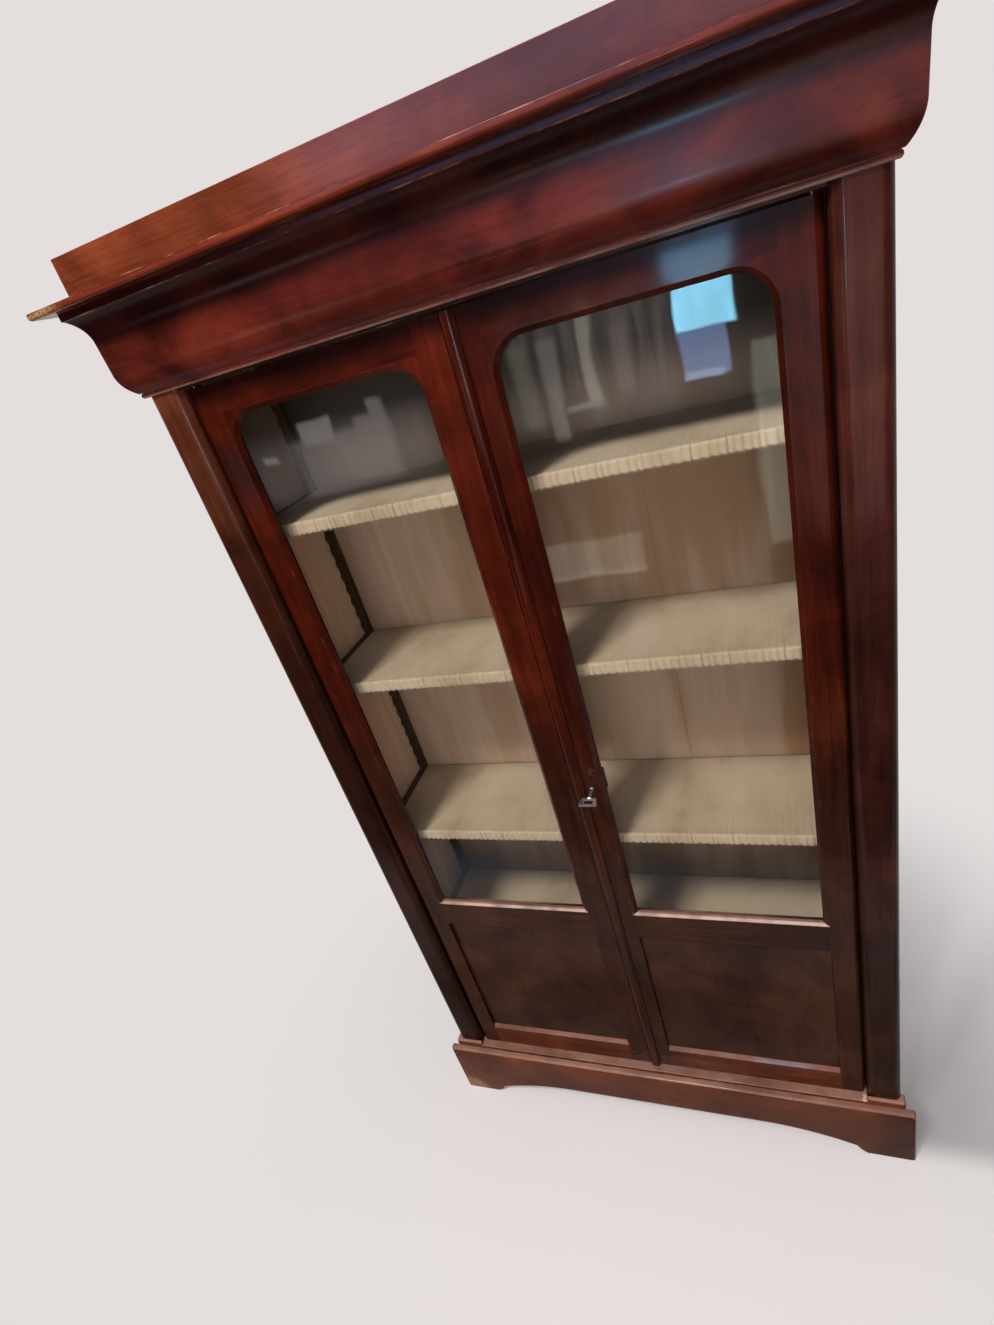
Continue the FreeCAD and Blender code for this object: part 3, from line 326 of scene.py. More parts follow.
def worn_edge(name, tone, seed, wear=0.5):
    """The arris of a polished board, rubbed down to paler wood in places."""
    s = Shader(name)
    wear_and_highlight = s.noise(EDGE_WEAR, s.stretched((1, 1, 1), (seed, seed, seed)))
    return s.principled(
        s.mix(s.span(wear_and_highlight, 0.62 - 0.3 * wear, 0.80 - 0.2 * wear), tone[1], WORN),
        s.span(wear_and_highlight, 0.3, 0.7, to_low=0.26, to_high=0.42),
        s.bump(s.noise(EDGE_CHIPS, s.place), 0.25 * MM),
        Specular_IOR_Level=0.12,
        Coat_Weight=0.35,
        Coat_Roughness=0.12,
        Coat_IOR=SHELLAC_IOR,
    )


def plain_wood(name, tone, run, seed):
    """Unpolished inner wood."""
    s = Shader(name)
    streaks = s.grain(BARE_STREAKS, run, (seed * 1.3, seed * 2.9, seed * 0.7))
    return s.principled(
        s.ramp(streaks, tuple(zip(BARE_STOPS, tone))),
        s.span(streaks, 0.3, 0.7, to_low=0.6, to_high=0.75),
        s.bump(streaks, 0.4 * MM),
        Specular_IOR_Level=0.3,
    )


# Painted boards

PAINT = (0.50, 0.37, 0.29)
STAINED = (0.36, 0.225, 0.135)
OLIVE = (0.36, 0.28, 0.16)
TOP_GREY = (0.34, 0.30, 0.28)
PAINT_STREAKS = Noise(scale=2.2, detail=6, roughness=0.6, distortion=0.3, across=26.0)
BROAD_STAINS = Noise(scale=1.6, detail=3, across=7.0)
OLIVE_STAINS = Noise(scale=1.3, detail=2, across=9.0)
GREY_FROM, GREY_TO = 1.72, 1.80  # heights between which the paint turns grey
SHADED_FROM, SHADED_TO = 1.79, 1.93  # and then darker, a painted shade
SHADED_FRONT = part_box("side_left")[0][Y] + 15 * MM  # painted shade: the dark strip behind the doors' hinge stiles
SHADED_STRIP = 25 * MM  # over which that strip fades
SHADE_LEFT = 0.10  # what it leaves of the paint


def painted_boards(name, seed, cleaner=0.0, painted_light=1.0, top=0.13):
    """Thin greyed paint over upright boards, browner towards the right side.

    cleaner is how much less stained the paint is. The factor after it brightens the colour as
    painted light, and top is what the painted shade in the top leaves of it.
    """
    s = Shader(name)
    place = s.split(s.place)
    shift = (seed * 1.1, seed * 0.7, seed * 1.9)
    streaks = s.grain(PAINT_STREAKS, Z, shift)
    broad = s.grain(BROAD_STAINS, Z, shift)
    olive = s.grain(OLIVE_STAINS, Z, (seed * 5.1, 0, 0))

    stain = s.math(
        "ADD",
        s.span(place[X], -0.45, 0.55, to_high=0.6, smooth=False),
        s.span(broad, 0.35, 0.65, to_low=-0.30, to_high=0.50),
    )
    streaked = s.span(streaks, 0.35, 0.7, to_low=-0.15 - cleaner, to_high=0.25 - cleaner)
    stain = s.math("ADD", stain, streaked)
    colour = s.mix(s.span(stain, 0.0, 1.0), PAINT, STAINED)
    colour = s.mix(s.span(olive, 0.55, 0.72, to_high=0.6), colour, OLIVE)
    colour = s.times(colour, s.span(streaks, 0.3, 0.72, to_low=0.88, to_high=1.08))
    colour = s.mix(s.span(place[Z], GREY_FROM, GREY_TO, to_high=0.6), colour, TOP_GREY)
    # painted shade: darker in the top
    colour = s.times(colour, s.span(place[Z], SHADED_FROM, SHADED_TO, painted_light, top * painted_light))
    # painted shade: darker in a strip behind the doors' hinge stiles
    behind = s.span(place[Y], SHADED_FRONT, SHADED_FRONT + SHADED_STRIP, to_low=SHADE_LEFT)
    return s.principled(
        s.times(colour, behind),
        s.span(streaks, 0.3, 0.7, to_low=0.55, to_high=0.8),
        s.bump(streaks, 0.5 * MM),
        Specular_IOR_Level=0.3,
    )


# Glass, cloth and metal

HEAD_ON = 0.013  # what one face of the glass reflects when seen square on
GLASS_TINTS = ((0.3, (0.95, 0.94, 0.92)), (0.7, (0.97, 0.96, 0.94)))
GLASS_WAVES = Noise(scale=6.0, detail=2, roughness=0.4)
GLASS_STREAKS = Noise(scale=3.0, detail=2)
YARN = 1.1 * MM  # from one thread of the cloth to the next
CLOTH_STOPS = (
    (0.30, (0.455, 0.37, 0.262)),
    (0.52, (0.60, 0.51, 0.39)),
    (0.75, (0.655, 0.585, 0.465)),
)
BETWEEN_YARNS = (0.40, 0.31, 0.19)
BETWEEN_STRENGTH = 0.16
CLOTH_SOIL = Noise(scale=9.0, detail=4, roughness=0.6)
SCRATCHES = Noise(scale=400.0, detail=2)


def pane_glass():
    """Old clear glass, slightly wavy.

    Light passes straight through, and a small share of it is reflected.
    """
    s = Shader("old_glass")
    tint = s.ramp(s.noise(GLASS_STREAKS, s.place), GLASS_TINTS)
    clear = s.node("ShaderNodeBsdfTransparent", {"Color": tint})
    normal = s.bump(s.noise(GLASS_WAVES, s.stretched((1, 1, 0.5))), 1.2 * MM)
    sockets = {"Color": (1, 1, 1, 1), "Roughness": 0.015, "Normal": normal}
    shine = s.node("ShaderNodeBsdfGlossy", sockets)
    facing = s.node("ShaderNodeLayerWeight", {"Blend": 0.5}).outputs["Facing"]
    share = s.math("MULTIPLY_ADD", s.math("POWER", facing, 5.0), 1 - HEAD_ON, HEAD_ON)
    return s.shows(s.blended(share, clear, shine))


def cream_cloth(name):
    """Cream cotton, woven fine, a little soiled."""
    s = Shader(name)
    place = s.split(s.place)
    turn = 2 * math.pi / YARN
    warp = s.math("SINE", s.math("MULTIPLY", place[X], turn))
    weft = s.math("SINE", s.math("MULTIPLY", s.math("ADD", place[Y], place[Z]), turn))
    weave = s.span(s.product(warp, weft), -1, 1, smooth=False)
    soiled = s.noise(CLOTH_SOIL, s.stretched((1, 0.6, 1)))
    colour = s.ramp(soiled, CLOTH_STOPS)
    return s.principled(
        s.mix(s.product(weave, BETWEEN_STRENGTH), colour, BETWEEN_YARNS),
        s.span(soiled, 0.3, 0.7, to_low=0.85, to_high=0.95),
        s.bump(weave, 0.15 * MM),
        Specular_IOR_Level=0.2,
        Sheen_Weight=0.25,
        Sheen_Roughness=0.5,
    )


def metal(name, bright, dull, roughness, scale=60.0):
    """Old metal, dull in patches and faintly scratched."""
    s = Shader(name)
    patches = s.noise(Noise(scale, detail=4, roughness=0.6), s.place)
    scratches = s.noise(SCRATCHES, s.stretched((1, 1, 8)))
    return s.principled(
        s.mix(s.span(patches, 0.35, 0.65), bright, dull),
        s.span(patches, 0.3, 0.7, to_low=roughness, to_high=roughness + 0.2),
        s.bump(scratches, 0.05 * MM),
        Metallic=1.0,
    )


# Dressing of the frame's nodes

JOINT = 0.15 * MM  # easing of the arrises that meet flush
EASED_ABOVE = math.radians(38)
FACING = 0.9  # part of a face's normal along an axis, from which the face looks that way


def dress(name, material, edge=None, width=0.8 * MM, segments=2):
    """Gives a node its material and, where an edge material is named, eased arrises of it."""
    piece = nodes[name]
    mesh = piece.data
    mesh.materials.clear()
    mesh.materials.append(material)
    if edge is None:
        return
    mesh.materials.append(edge)
    mesh.polygons.foreach_set("use_smooth", [True] * len(mesh.polygons))
    weld = piece.modifiers.new("weld", "WELD")
    weld.merge_threshold = 0.02 * MM
    eased = piece.modifiers.new("eased", "BEVEL")
    eased.width = width
    eased.segments = segments
    eased.limit_method = "ANGLE"
    eased.angle_limit = EASED_ABOVE
    eased.use_clamp_overlap = False
    eased.material = 1
    even = piece.modifiers.new("even", "WEIGHTED_NORMAL")
    even.keep_sharp = False


def second_material(name, material, axis, level, towards=1):
    """Gives a dressed node's outermost faces along an axis another material.

    These lie at that level or past it. towards is -1 where they look against the axis.
    """
    mesh = nodes[name].data
    mesh.materials.append(material)
    for face in mesh.polygons:
        looks, lies = face.normal[axis] * towards, face.center[axis] * towards
        if looks > FACING and lies > level - MM:
            face.material_index = len(mesh.materials) - 1


def dress_crown():
    """Attic, cornice and cap."""
    attic_edge = worn_edge("attic_edge", ATTIC, seed=1)
    cornice_edge = worn_edge("cornice_edge", CORNICE, seed=2)
    face = wood(
        "attic_face", ATTIC, run=X, seed=1, figure=0.25, polish=0.5, streaky=0.3,
        # painted shade: the attic front darker from its left part to the middle and right
        painted_shading=(PaintedShading(X, start=-0.35, end=0.15, factor=0.50),),
    )
    dress("attic_front", face, attic_edge)
    side = wood("attic_return", ATTIC, run=Y, seed=2, figure=0.2, streaky=0.4)
    dress("attic_sides", side, attic_edge)

    low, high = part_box("cornice_cap")
    tip = (low[X], low[Y], high[Z])
    bare_tip = Mark(tip, reach=30 * MM, soft=60 * MM, colour=TAN, strength=0.9)
    cap = wood("cap_face", CAP, run=X, seed=3, marks=(bare_tip,))
    dress("cornice_cap", cap, cornice_edge, width=1.5 * MM, segments=3)

    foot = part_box("cornice_front")[0][Z]
    ogee = {
        "gloss": 0.26,
        "polish": 0.5,
        "haze": 0.22,
        "streaky": 0.3,
        "painted_shading": (
            # painted shade: darker in the cove under the cap, and towards the right end
            PaintedShading(Z, start=foot + 86 * MM, end=foot + 104 * MM, factor=0.30),
            PaintedShading(X, start=0.0, end=0.35, factor=0.70),
        ),
        # painted highlight: a pale band along the cornice's foot bead
        "painted_highlights": (PaintedHighlight(Z, foot - 2 * MM, foot + 3 * MM, 1 * MM, BEAD_HIGHLIGHT, strength=0.7),),
    }
    face = wood("cornice_face", CORNICE, run=X, seed=4, figure=0.7, **ogee)
    dress("cornice_front", face, cornice_edge)
    side = wood("cornice_return", CORNICE, run=Y, seed=5, figure=0.6, **ogee)
    dress("cornice_left", side, cornice_edge)
    dress("cornice_right", side, cornice_edge)


def dress_doors():
    """Frames, panels and what is fixed to them, except glass and metal."""
    edge = worn_edge("door_edge", RED, seed=3, wear=0.25)
    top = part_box("left_door_top_rail")[1][Z]
    # painted shadow of the cornice across the top of the doors' top rails
    cornice_shadow = PaintedShading(Z, start=top - 44 * MM, end=top - 14 * MM, factor=0.30)
    # painted shade, darker towards the bottom
    shaded_below = PaintedShading(Z, start=1.7, end=0.5, factor=0.85)
    # painted shade towards the right end of the rails
    shaded_right_end = PaintedShading(X, start=0.20, end=0.40, factor=0.6)
    low = Low(BROWN, start=1.55, end=0.95)
    dress("head_rail", wood("head_face", SHADED, run=X, seed=6), edge)
    for number, (side, red) in enumerate(zip(SIDES, (LIT_RED, RED))):
        door = side + "_door_"
        upright = wood(
            side + "_upright", red, run=Z, seed=7 + number, figure=0.15,
            painted_shading=(cornice_shadow, shaded_below), low=low,
        )
        level = wood(
            side + "_level", red, run=X, seed=9 + number, figure=0.2,
            painted_shading=(cornice_shadow, shaded_below, shaded_right_end), low=low,
        )
        lowest = wood(side + "_lowest", FOOT_RED, run=X, seed=11 + number, figure=0.2)
        for part, face in (
            ("hinge_stile", upright),
            ("meeting_stile", upright),
            ("top_rail", level),
            ("mid_rail", level),
            ("bottom_rail", lowest),
        ):
            dress(door + part, face, edge, JOINT)

        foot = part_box(door + "sight_frame")[0][Z]
        # painted highlight: a pale band along the sight frame's lower edge
        wear_and_highlight = PaintedHighlight(Z, foot + 3 * MM, foot + 8 * MM, 1.0 * MM, GLAZING_FOOT_HIGHLIGHT, strength=0.95)
        sight = wood(
            side + "_sight", red, run=Z, seed=7 + number, figure=0.15,
            painted_shading=(cornice_shadow, shaded_below), painted_highlights=(wear_and_highlight,), low=low,
        )
        dress(door + "sight_frame", sight, edge, JOINT)
        beads = wood(side + "_bead", SHADED, run=Z, seed=13 + number)
        dress(door + "glass_beads", beads, edge, width=0.6 * MM)
        panel = wood(
            side + "_flame", FLAME, run=Z, seed=15 + number, figure=0.5,
            gloss=0.26, polish=0.3, streaky=0.25,
        )
        dress(door + "panel", panel, edge)
    astragal = wood(
        "astragal", RED, run=Z, seed=19, figure=0.1, gloss=0.25, polish=0.4,
        painted_shading=(shaded_below,), low=low,
    )
    dress("right_door_astragal", astragal, edge)


def dress_sides():
    """Corner stiles and side panels."""
    edge = worn_edge("stile_edge", BROWN, seed=4, wear=0.35)
    low = Low(BROWN, start=0.95, end=0.5)
    # painted shade, darker towards the bottom
    shaded_below = PaintedShading(Z, start=1.8, end=0.6, factor=0.55)
    # painted light and shade up and down the corner stiles
    left_painted_shading = (
        PaintedShading(Z, start=1.98, end=1.76, factor=0.36),
        PaintedShading(Z, start=1.72, end=1.50, factor=0.5),
        PaintedShading(Z, start=1.15, end=0.90, factor=1.6),
        PaintedShading(Z, start=0.85, end=0.60, factor=1.4),
    )
    right_painted_shading = (
        PaintedShading(Z, start=1.75, end=1.40, factor=0.60),
        PaintedShading(Z, start=0.75, end=0.55, factor=1.2),
    )
    sides = zip(SIDES, (STILE, RUSSET), (left_painted_shading, right_painted_shading), (-1, 1))
    for number, (side, tone, painted_shading, towards) in enumerate(sides):
        stile = wood(
            side + "_stile", tone, run=Z, seed=17 + number, figure=0.15, painted_shading=painted_shading, low=low
        )
        dress("stile_" + side, stile, edge)
        panel = "side_" + side
        # the cheeks are brightened with painted light, and darkened less in their top
        cheek = painted_boards(side + "_cheek", seed=5 + number, cleaner=0.6, painted_light=1.75, top=0.4)
        dress(panel, cheek)
        outer = wood(
            side + "_side", BROWN, run=Z, seed=27 + number, figure=0.35, painted_shading=(shaded_below,)
        )
        outside = max(abs(corner[X]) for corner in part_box(panel))
        second_material(panel, outer, X, outside, towards)


def dress_foot():
    """Plinth, sill and the beads at the stiles' feet."""
    # the plinth's arrises are paler than most: wear, and partly a painted highlight along the top
    # edge
    plinth_edge = worn_edge("plinth_edge", PLINTH, seed=5, wear=0.9)
    low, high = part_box("plinth_front")
    left_foot = (low[X] + 20 * MM, low[Y], low[Z])
    face = wood(
        "plinth_face", PLINTH, run=X, seed=20, figure=0.2, polish=0.5, streaky=0.3,
        # painted shade towards the plinth's right end
        painted_shading=(PaintedShading(X, start=high[X] - 130 * MM, end=high[X] - 30 * MM, factor=0.5),),
        marks=(Mark(left_foot, reach=34 * MM, soft=30 * MM, colour=TAN, strength=0.8),),
    )
    dress("plinth_front", face, plinth_edge, width=4.0 * MM, segments=4)
    side = wood("plinth_side", PLINTH, run=Y, seed=21, figure=0.2)
    dress("plinth_sides", side, plinth_edge, width=1.2 * MM)
    beads = wood("foot_beads", PLINTH, run=X, seed=23)
    dress("base_beads", beads, plinth_edge, width=0.5 * MM)

    low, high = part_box("sill_rail")
    # two small white spots near the sill's right end
    white_spots = tuple(
        Mark(place, reach=4 * MM, soft=2 * MM, colour=WHITE_SPOT, strength=1.0)
        for place in (
            (high[X] - 4 * MM, low[Y] + 14 * MM, high[Z]),
            (high[X] - 7 * MM, low[Y] + 5 * MM, high[Z]),
        )
    )
    sill = wood("sill", FOOT_RED, run=X, seed=22, marks=white_spots)
    # the sill's edge is paler still: wear, and partly a painted highlight
    dress("sill_rail", sill, worn_edge("sill_edge", FOOT_RED, seed=6, wear=1.2))


def dress_inside():
    """Back boards, shelves and what carries them."""
    bare = plain_wood("bare_boards", OAK, run=X, seed=1)
    rear = plain_wood("bare_backs", OAK, run=Z, seed=4)
    for number, part in enumerate(("left", "middle", "right"), 1):
        name = f"back_board_{part}"
        dress(name, painted_boards(f"back_{part}", seed=number))
        second_material(name, rear, Y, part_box(name)[1][Y])
    for name in ("bottom_board", "top_board", "plinth_rails"):
        dress(name, bare)
    for number in range(1, 5):
        dress(f"shelf_{number}", bare)
    dress("shelf_racks", plain_wood("rack_wood", SMOKED, run=Z, seed=2))
    dress("dust_strips", plain_wood("strip_wood", SHADED, run=Z, seed=5))
    dress("shelf_bearers", plain_wood("bearer_wood", SHADED, run=Y, seed=3))


def dress_fittings():
    """Glass, lock, key, pivots and slide bolts."""
    glass = pane_glass()
    brass = metal("old_brass", (0.38, 0.26, 0.11), (0.16, 0.11, 0.055), roughness=0.38)
    iron = metal("dark_iron", (0.10, 0.085, 0.075), (0.045, 0.038, 0.034), roughness=0.45)
    steel = metal(
        "grey_steel", (0.88, 0.86, 0.83), (0.62, 0.60, 0.57), roughness=0.26, scale=140.0
    )
    for side in SIDES:
        dress(f"{side}_door_glass", glass)
        dress(f"{side}_door_pivots", brass)
    for name in ("slide_bolt_bottom", "slide_bolt_top", "slide_bolt_covers"):
        dress(name, brass)
    dress("key", steel)
    dress("lock_bolt", steel)
    dress("lock_case", iron)
    dress("keyhole_plate", iron)


# Shelf linings

FOLDS = 84
# One fold's section: shares of its width across and of its relief up, even at the rear and
# leaning at the front.
FLAT_PLACES = (0.00, 0.11, 0.23, 0.37, 0.50, 0.63, 0.76, 0.88)
LEANING_PLACES = (0.00, 0.14, 0.30, 0.46, 0.62, 0.76, 0.86, 0.94)
FOLD_HEIGHTS = (0.00, 0.16, 0.52, 0.88, 1.00, 0.88, 0.52, 0.16)
TOP_STEPS, TURN_STEPS, DROP_STEPS = 9, 6, 5  # rows over the shelf, round its edge and down
ROLL = 5 * MM  # radius where the cloth turns over the shelf's front edge
PADDING = 0.8 * MM  # how much further out the cloth lies over the shelf's corner
STANDING_OFF = 2.0 * MM  # between the shelf's front and the cloth
REAR_RELIEF = 0.2 * MM
TOP_RELIEF = 1.6 * MM
FRONT_RELIEF = 2.8 * MM
EDGE_SHARE = 0.25  # of the front's relief, reached where the shelf's top ends
MARGIN = 1 * MM  # between the linings' ends and the cheeks
UNEVEN = 0.28  # how much wider or narrower than the mean a fold may be
SWAY = 0.8 * MM  # by which a fold wanders sideways
SAG = 1.6 * MM  # by which the lower edge hangs in the middle of a fold
FRINGE = 5.0 * MM
THREAD_STEP = 2.4 * MM
THREAD = 0.45 * MM
THREAD_SIDES = 4
THREAD_RINGS = ((0.0, 1.0), (0.5, 1.1), (0.9, 0.9), (1.0, 0.35))  # share of length, thickness
ASKEW = (0.5, 0.4)  # millimetres to each side by which a thread's foot may be off, in x and y
SHORTER = 1.4  # millimetres by which a thread may be shorter


def mesh_piece(name, points, faces, material):
    mesh = bpy.data.meshes.new(name)
    mesh.from_pydata(points, [], faces)
    mesh.polygons.foreach_set("use_smooth", [True] * len(mesh.polygons))
    mesh.materials.append(material)
    piece = bpy.data.objects.new(name, mesh)
    bpy.context.scene.collection.objects.link(piece)
    return piece


def lining_path(low, high, shelf_front):
    """Rows of the lining, from the rear of the shelf to the lower edge.

    Each is y, z, outward y, outward z and its share of the front's relief.
    """
    top = high[Z] - TOP_RELIEF
    front = shelf_front - STANDING_OFF
    rear = high[Y]
    path = []
    for step in range(TOP_STEPS + 1):
        y = rear + (front + ROLL - rear) * step / TOP_STEPS
        path.append((y, top, 0.0, 1.0, EDGE_SHARE * (step / TOP_STEPS) ** 3))
    for step in range(1, TURN_STEPS + 1):
        angle = math.pi / 2 * step / TURN_STEPS
        out_y, out_z = -math.sin(angle), math.cos(angle)
        reach = ROLL + PADDING * math.sin(2 * angle)
        share = EDGE_SHARE + (1 - EDGE_SHARE) * step / TURN_STEPS
        y, z = front + ROLL + reach * out_y, top - ROLL + reach * out_z
        path.append((y, z, out_y, out_z, share))
    foot = low[Z] + FRINGE
    for step in range(1, DROP_STEPS + 1):
        z = top - ROLL + (foot - top + ROLL) * step / DROP_STEPS
        path.append((front, z, -1.0, 0.0, 1.0))
    return path


def fold_edges(low, high):
    """Where each fold starts, unevenly spaced over the width."""
    widths = [1 + random.uniform(-UNEVEN, UNEVEN) for _ in range(FOLDS)]
    room = high[X] - low[X] - 2 * MARGIN
    unit = room / sum(widths)
    edges = [low[X] + MARGIN]
    for width in widths:
        edges.append(edges[-1] + width * unit)
    return edges


def lining(number, cloth, thread):
    """A pleated cream cloth along one shelf, with a short fringe on its lower edge."""
    shelf, solid = f"shelf_{number}", f"shelf_lining_{number}"
    low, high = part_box(solid)
    path = lining_path(low, high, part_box(shelf)[0][Y])
    edges = fold_edges(low, high)
    sharpness = [random.uniform(0.1, 1.0) for _ in range(FOLDS)]
    last = len(path) - 1
    points = []
    for row, (y, z, out_y, out_z, front_share) in enumerate(path):
        for fold, (start, end) in enumerate(zip(edges, edges[1:])):
            lean = front_share * sharpness[fold]
            fullness = front_share * (0.6 + 0.4 * sharpness[fold])
            relief = REAR_RELIEF + (FRONT_RELIEF - REAR_RELIEF) * fullness
            sway = SWAY * math.sin(fold * 1.7 + y * 21 + number)
            for flat, leaning, height in zip(FLAT_PLACES, LEANING_PLACES, FOLD_HEIGHTS):
                share = flat + (leaning - flat) * lean
                x = start + (end - start) * share + sway
                lift = relief * height
                hang = SAG * math.sin(math.pi * min(share, 1)) if row == last else 0
                points.append((x, y + out_y * lift, z + out_z * lift - hang))
    across = FOLDS * len(FLAT_PLACES)
    faces = []
    for row in range(last):
        for column in range(across - 1):
            a = row * across + column
            faces.append((a, a + across, a + across + 1, a + 1))
    piece = mesh_piece(f"lining_{number}", points, faces, cloth)
    fringe = fringe_of(number, points[last * across:], low, thread)
    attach(piece, "root")
    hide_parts(solid)


def add_thread(points, faces, top, level):
    """A thread that hangs from top to about a level, a little askew."""
    x = top.x + random.uniform(-ASKEW[X], ASKEW[X]) * MM
    y = top.y + random.uniform(-ASKEW[Y], ASKEW[Y]) * MM
    foot = Vector((x, y, level))
    foot.z += random.uniform(0, SHORTER) * MM
    first = len(points)
    for share, thickness in THREAD_RINGS:
        middle = top.lerp(foot, share)
        reach = THREAD * thickness
        for side in range(THREAD_SIDES):
            angle = 2 * math.pi * side / THREAD_SIDES
            x = middle.x + reach * math.cos(angle)
            points.append((x, middle.y + reach * math.sin(angle), middle.z))
    sides = range(THREAD_SIDES)
    last = first + (len(THREAD_RINGS) - 1) * THREAD_SIDES
    for ring in range(first, last, THREAD_SIDES):
        for side in sides:
            a = ring + side
            b = ring + (side + 1) % THREAD_SIDES
            faces.append((a, a + THREAD_SIDES, b + THREAD_SIDES, b))
    faces.append(tuple(last + side for side in sides))
    faces.append(tuple(first + side for side in reversed(sides)))


def fringe_of(number, edge, low, material):
    """Short threads side by side along the lining's lower edge."""
    points, faces = [], []
    reached = edge[0][X]
    for before, after in zip(edge, edge[1:]):
        while after[X] > before[X] and reached < after[X]:
            if reached >= before[X]:
                share = (reached - before[X]) / (after[X] - before[X])
                add_thread(points, faces, Vector(before).lerp(Vector(after), share), low[Z])
            reached += THREAD_STEP
    piece = mesh_piece(f"lining_fringe_{number}", points, faces, material)
    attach(piece, "root")
    return piece


def line_shelves():
    cloth = cream_cloth("cream_cloth")
    thread = cream_cloth("cream_thread")
    for number in range(1, 5):
        lining(number, cloth, thread)


# Camera

# The picture's size and the camera's focal length and centre, all in its pixels.
PICTURE = (994, 1325)
FOCAL = 696.8
CENTRE = (496.7, 665.4)
SENSOR = 36.0
CAMERA_PLACE = Vector((0.4199, -1.1512, 2.0586))
CAMERA_RIGHT = Vector((0.91738, 0.29274, -0.26964))
CAMERA_DOWN = Vector((-0.08039, -0.52723, -0.84591))
CAMERA_AHEAD = Vector((-0.38980, 0.79770, -0.46014))


def camera():
    data = bpy.data.cameras.new("camera")
    placed = bpy.data.objects.new("camera", data)
    bpy.context.scene.collection.objects.link(placed)
    matrix = Matrix((CAMERA_RIGHT, -CAMERA_DOWN, -CAMERA_AHEAD)).transposed().to_4x4()
    matrix.translation = CAMERA_PLACE
    placed.matrix_world = matrix
    data.lens = FOCAL / PICTURE[1] * SENSOR
    data.shift_x = (PICTURE[0] / 2 - CENTRE[0]) / PICTURE[1]
    data.shift_y = (CENTRE[1] - PICTURE[1] / 2) / PICTURE[1]
    data.clip_start = 0.01
    bpy.context.scene.camera = placed


# Floor and surround

PALE = (0.776, 0.730, 0.726)
AMBIENT = 0.16
AMBIENT_COLOUR = (0.96, 0.97, 1.0, 1)
UNLIT = 0.05  # how bright the unlit side of the studio, in front of the object, is in gloss
FLOOR_SIZE = 60
FLOOR_PALE = (0.745, 0.730, 0.760)  # the pale colour again under the warm key lamp
FLOOR_SHARE = 1.20  # of it, so that the lit floor looks like the surround
FLOOR_BOUNCE = (0.26, 0.22, 0.20)  # the floor as it lights the object
FLOOR_IN_GLOSS = (0.03, 0.024, 0.022)
LIT_WITHIN, GLOWING_FROM = 0.45, 1.5  # distances from the origin, from a lit floor to a glowing one
NEAR_GLOW = 0.18  # share of the glow in the lit floor
WARM_SHEEN, BLUE_SHEEN = (0.82, 0.68, 0.62), (0.60, 0.72, 0.88)
PLINTH_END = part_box("plinth_front")[1][X]
PLINTH_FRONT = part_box("plinth_front")[0][Y]
PAINTED_SHADOW_SLANT = -0.57  # how the painted shadow's edge draws away from the plinth, to the rear
PAINTED_SHADOW_LEFT = 0.33  # what the painted shadow leaves of the light there


def seen_plainly(s):
    """1 for rays from the camera and through glass."""
    path = s.node("ShaderNodeLightPath").outputs
    return s.math("MAXIMUM", path["Is Camera Ray"], path["Is Transmission Ray"])


def seen_in_gloss(s):
    return s.node("ShaderNodeLightPath").outputs["Is Glossy Ray"]


def painted_floor_shadow(s, across, depth):
    """A shadow painted on the floor beside the plinth's right end: the light that it leaves there.
    """
    beyond = s.math("SUBTRACT", across, PLINTH_END)
    behind = s.math("SUBTRACT", depth, PLINTH_FRONT)
    beside = s.math("MULTIPLY_ADD", behind, PAINTED_SHADOW_SLANT, beyond)
    painted_shadow = s.product(
        s.span(beside, -0.17, -0.03),
        s.span(behind, -0.01, 0.07),
        s.fall(beyond, 0.15, 0.75),
    )
    return s.span(painted_shadow, 0.0, 1.0, to_low=1.0, to_high=PAINTED_SHADOW_LEFT, smooth=False)


def floor_sheen(s, across, depth):
    """The colour of the lit strip that gloss shows in front, bluer ahead and to the right."""
    ahead = s.fall(depth, -0.86, -0.76)
    bluer = s.math("MAXIMUM", ahead, s.span(across, -0.1, 0.6, to_high=0.8))
    return s.mix(bluer, WARM_SHEEN, BLUE_SHEEN)


def pale_floor():
    """A pale floor that keeps the shadow, and a shadow painted beside the plinth's right end.

    Gloss shows it dark in front of the object, where the studio is unlit, but for one strip.
    """
    bpy.ops.mesh.primitive_plane_add(size=FLOOR_SIZE)
    floor = bpy.context.object
    floor.name = "floor"
    s = Shader("floor")
    across, depth = s.split(s.place)[:2]
    gloss = seen_in_gloss(s)

    full = tuple(part * FLOOR_SHARE for part in FLOOR_PALE)
    # the lit floor's colour, with the painted shadow beside the plinth
    lit_colour = s.times(full, painted_floor_shadow(s, across, depth))
    lit = s.node("ShaderNodeBsdfDiffuse", {"Color": lit_colour})
    tinted = s.product(gloss, s.fall(depth, -0.3, -0.2))
    glow = s.emission(s.mix(tinted, PALE, floor_sheen(s, across, depth)))
    away = s.node("ShaderNodeVectorMath", {0: s.place}, operation="LENGTH").outputs["Value"]
    shown = s.blended(s.span(away, LIT_WITHIN, GLOWING_FROM, to_low=NEAR_GLOW), lit, glow)

    behind = s.span(depth, -0.6, 0.3, to_low=UNLIT)
    strip = s.product(s.span(depth, -1.15, -0.90), s.span(depth, -0.65, -0.35, 0.75, 0.0))
    in_gloss = s.product(gloss, s.math("MAXIMUM", behind, strip))
    dim_colour = s.mix(gloss, FLOOR_BOUNCE, FLOOR_IN_GLOSS)
    dim = s.node("ShaderNodeBsdfDiffuse", {"Color": dim_colour})
    pale = s.math("MAXIMUM", seen_plainly(s), in_gloss)
    floor.data.materials.append(s.shows(s.blended(pale, dim, shown)))


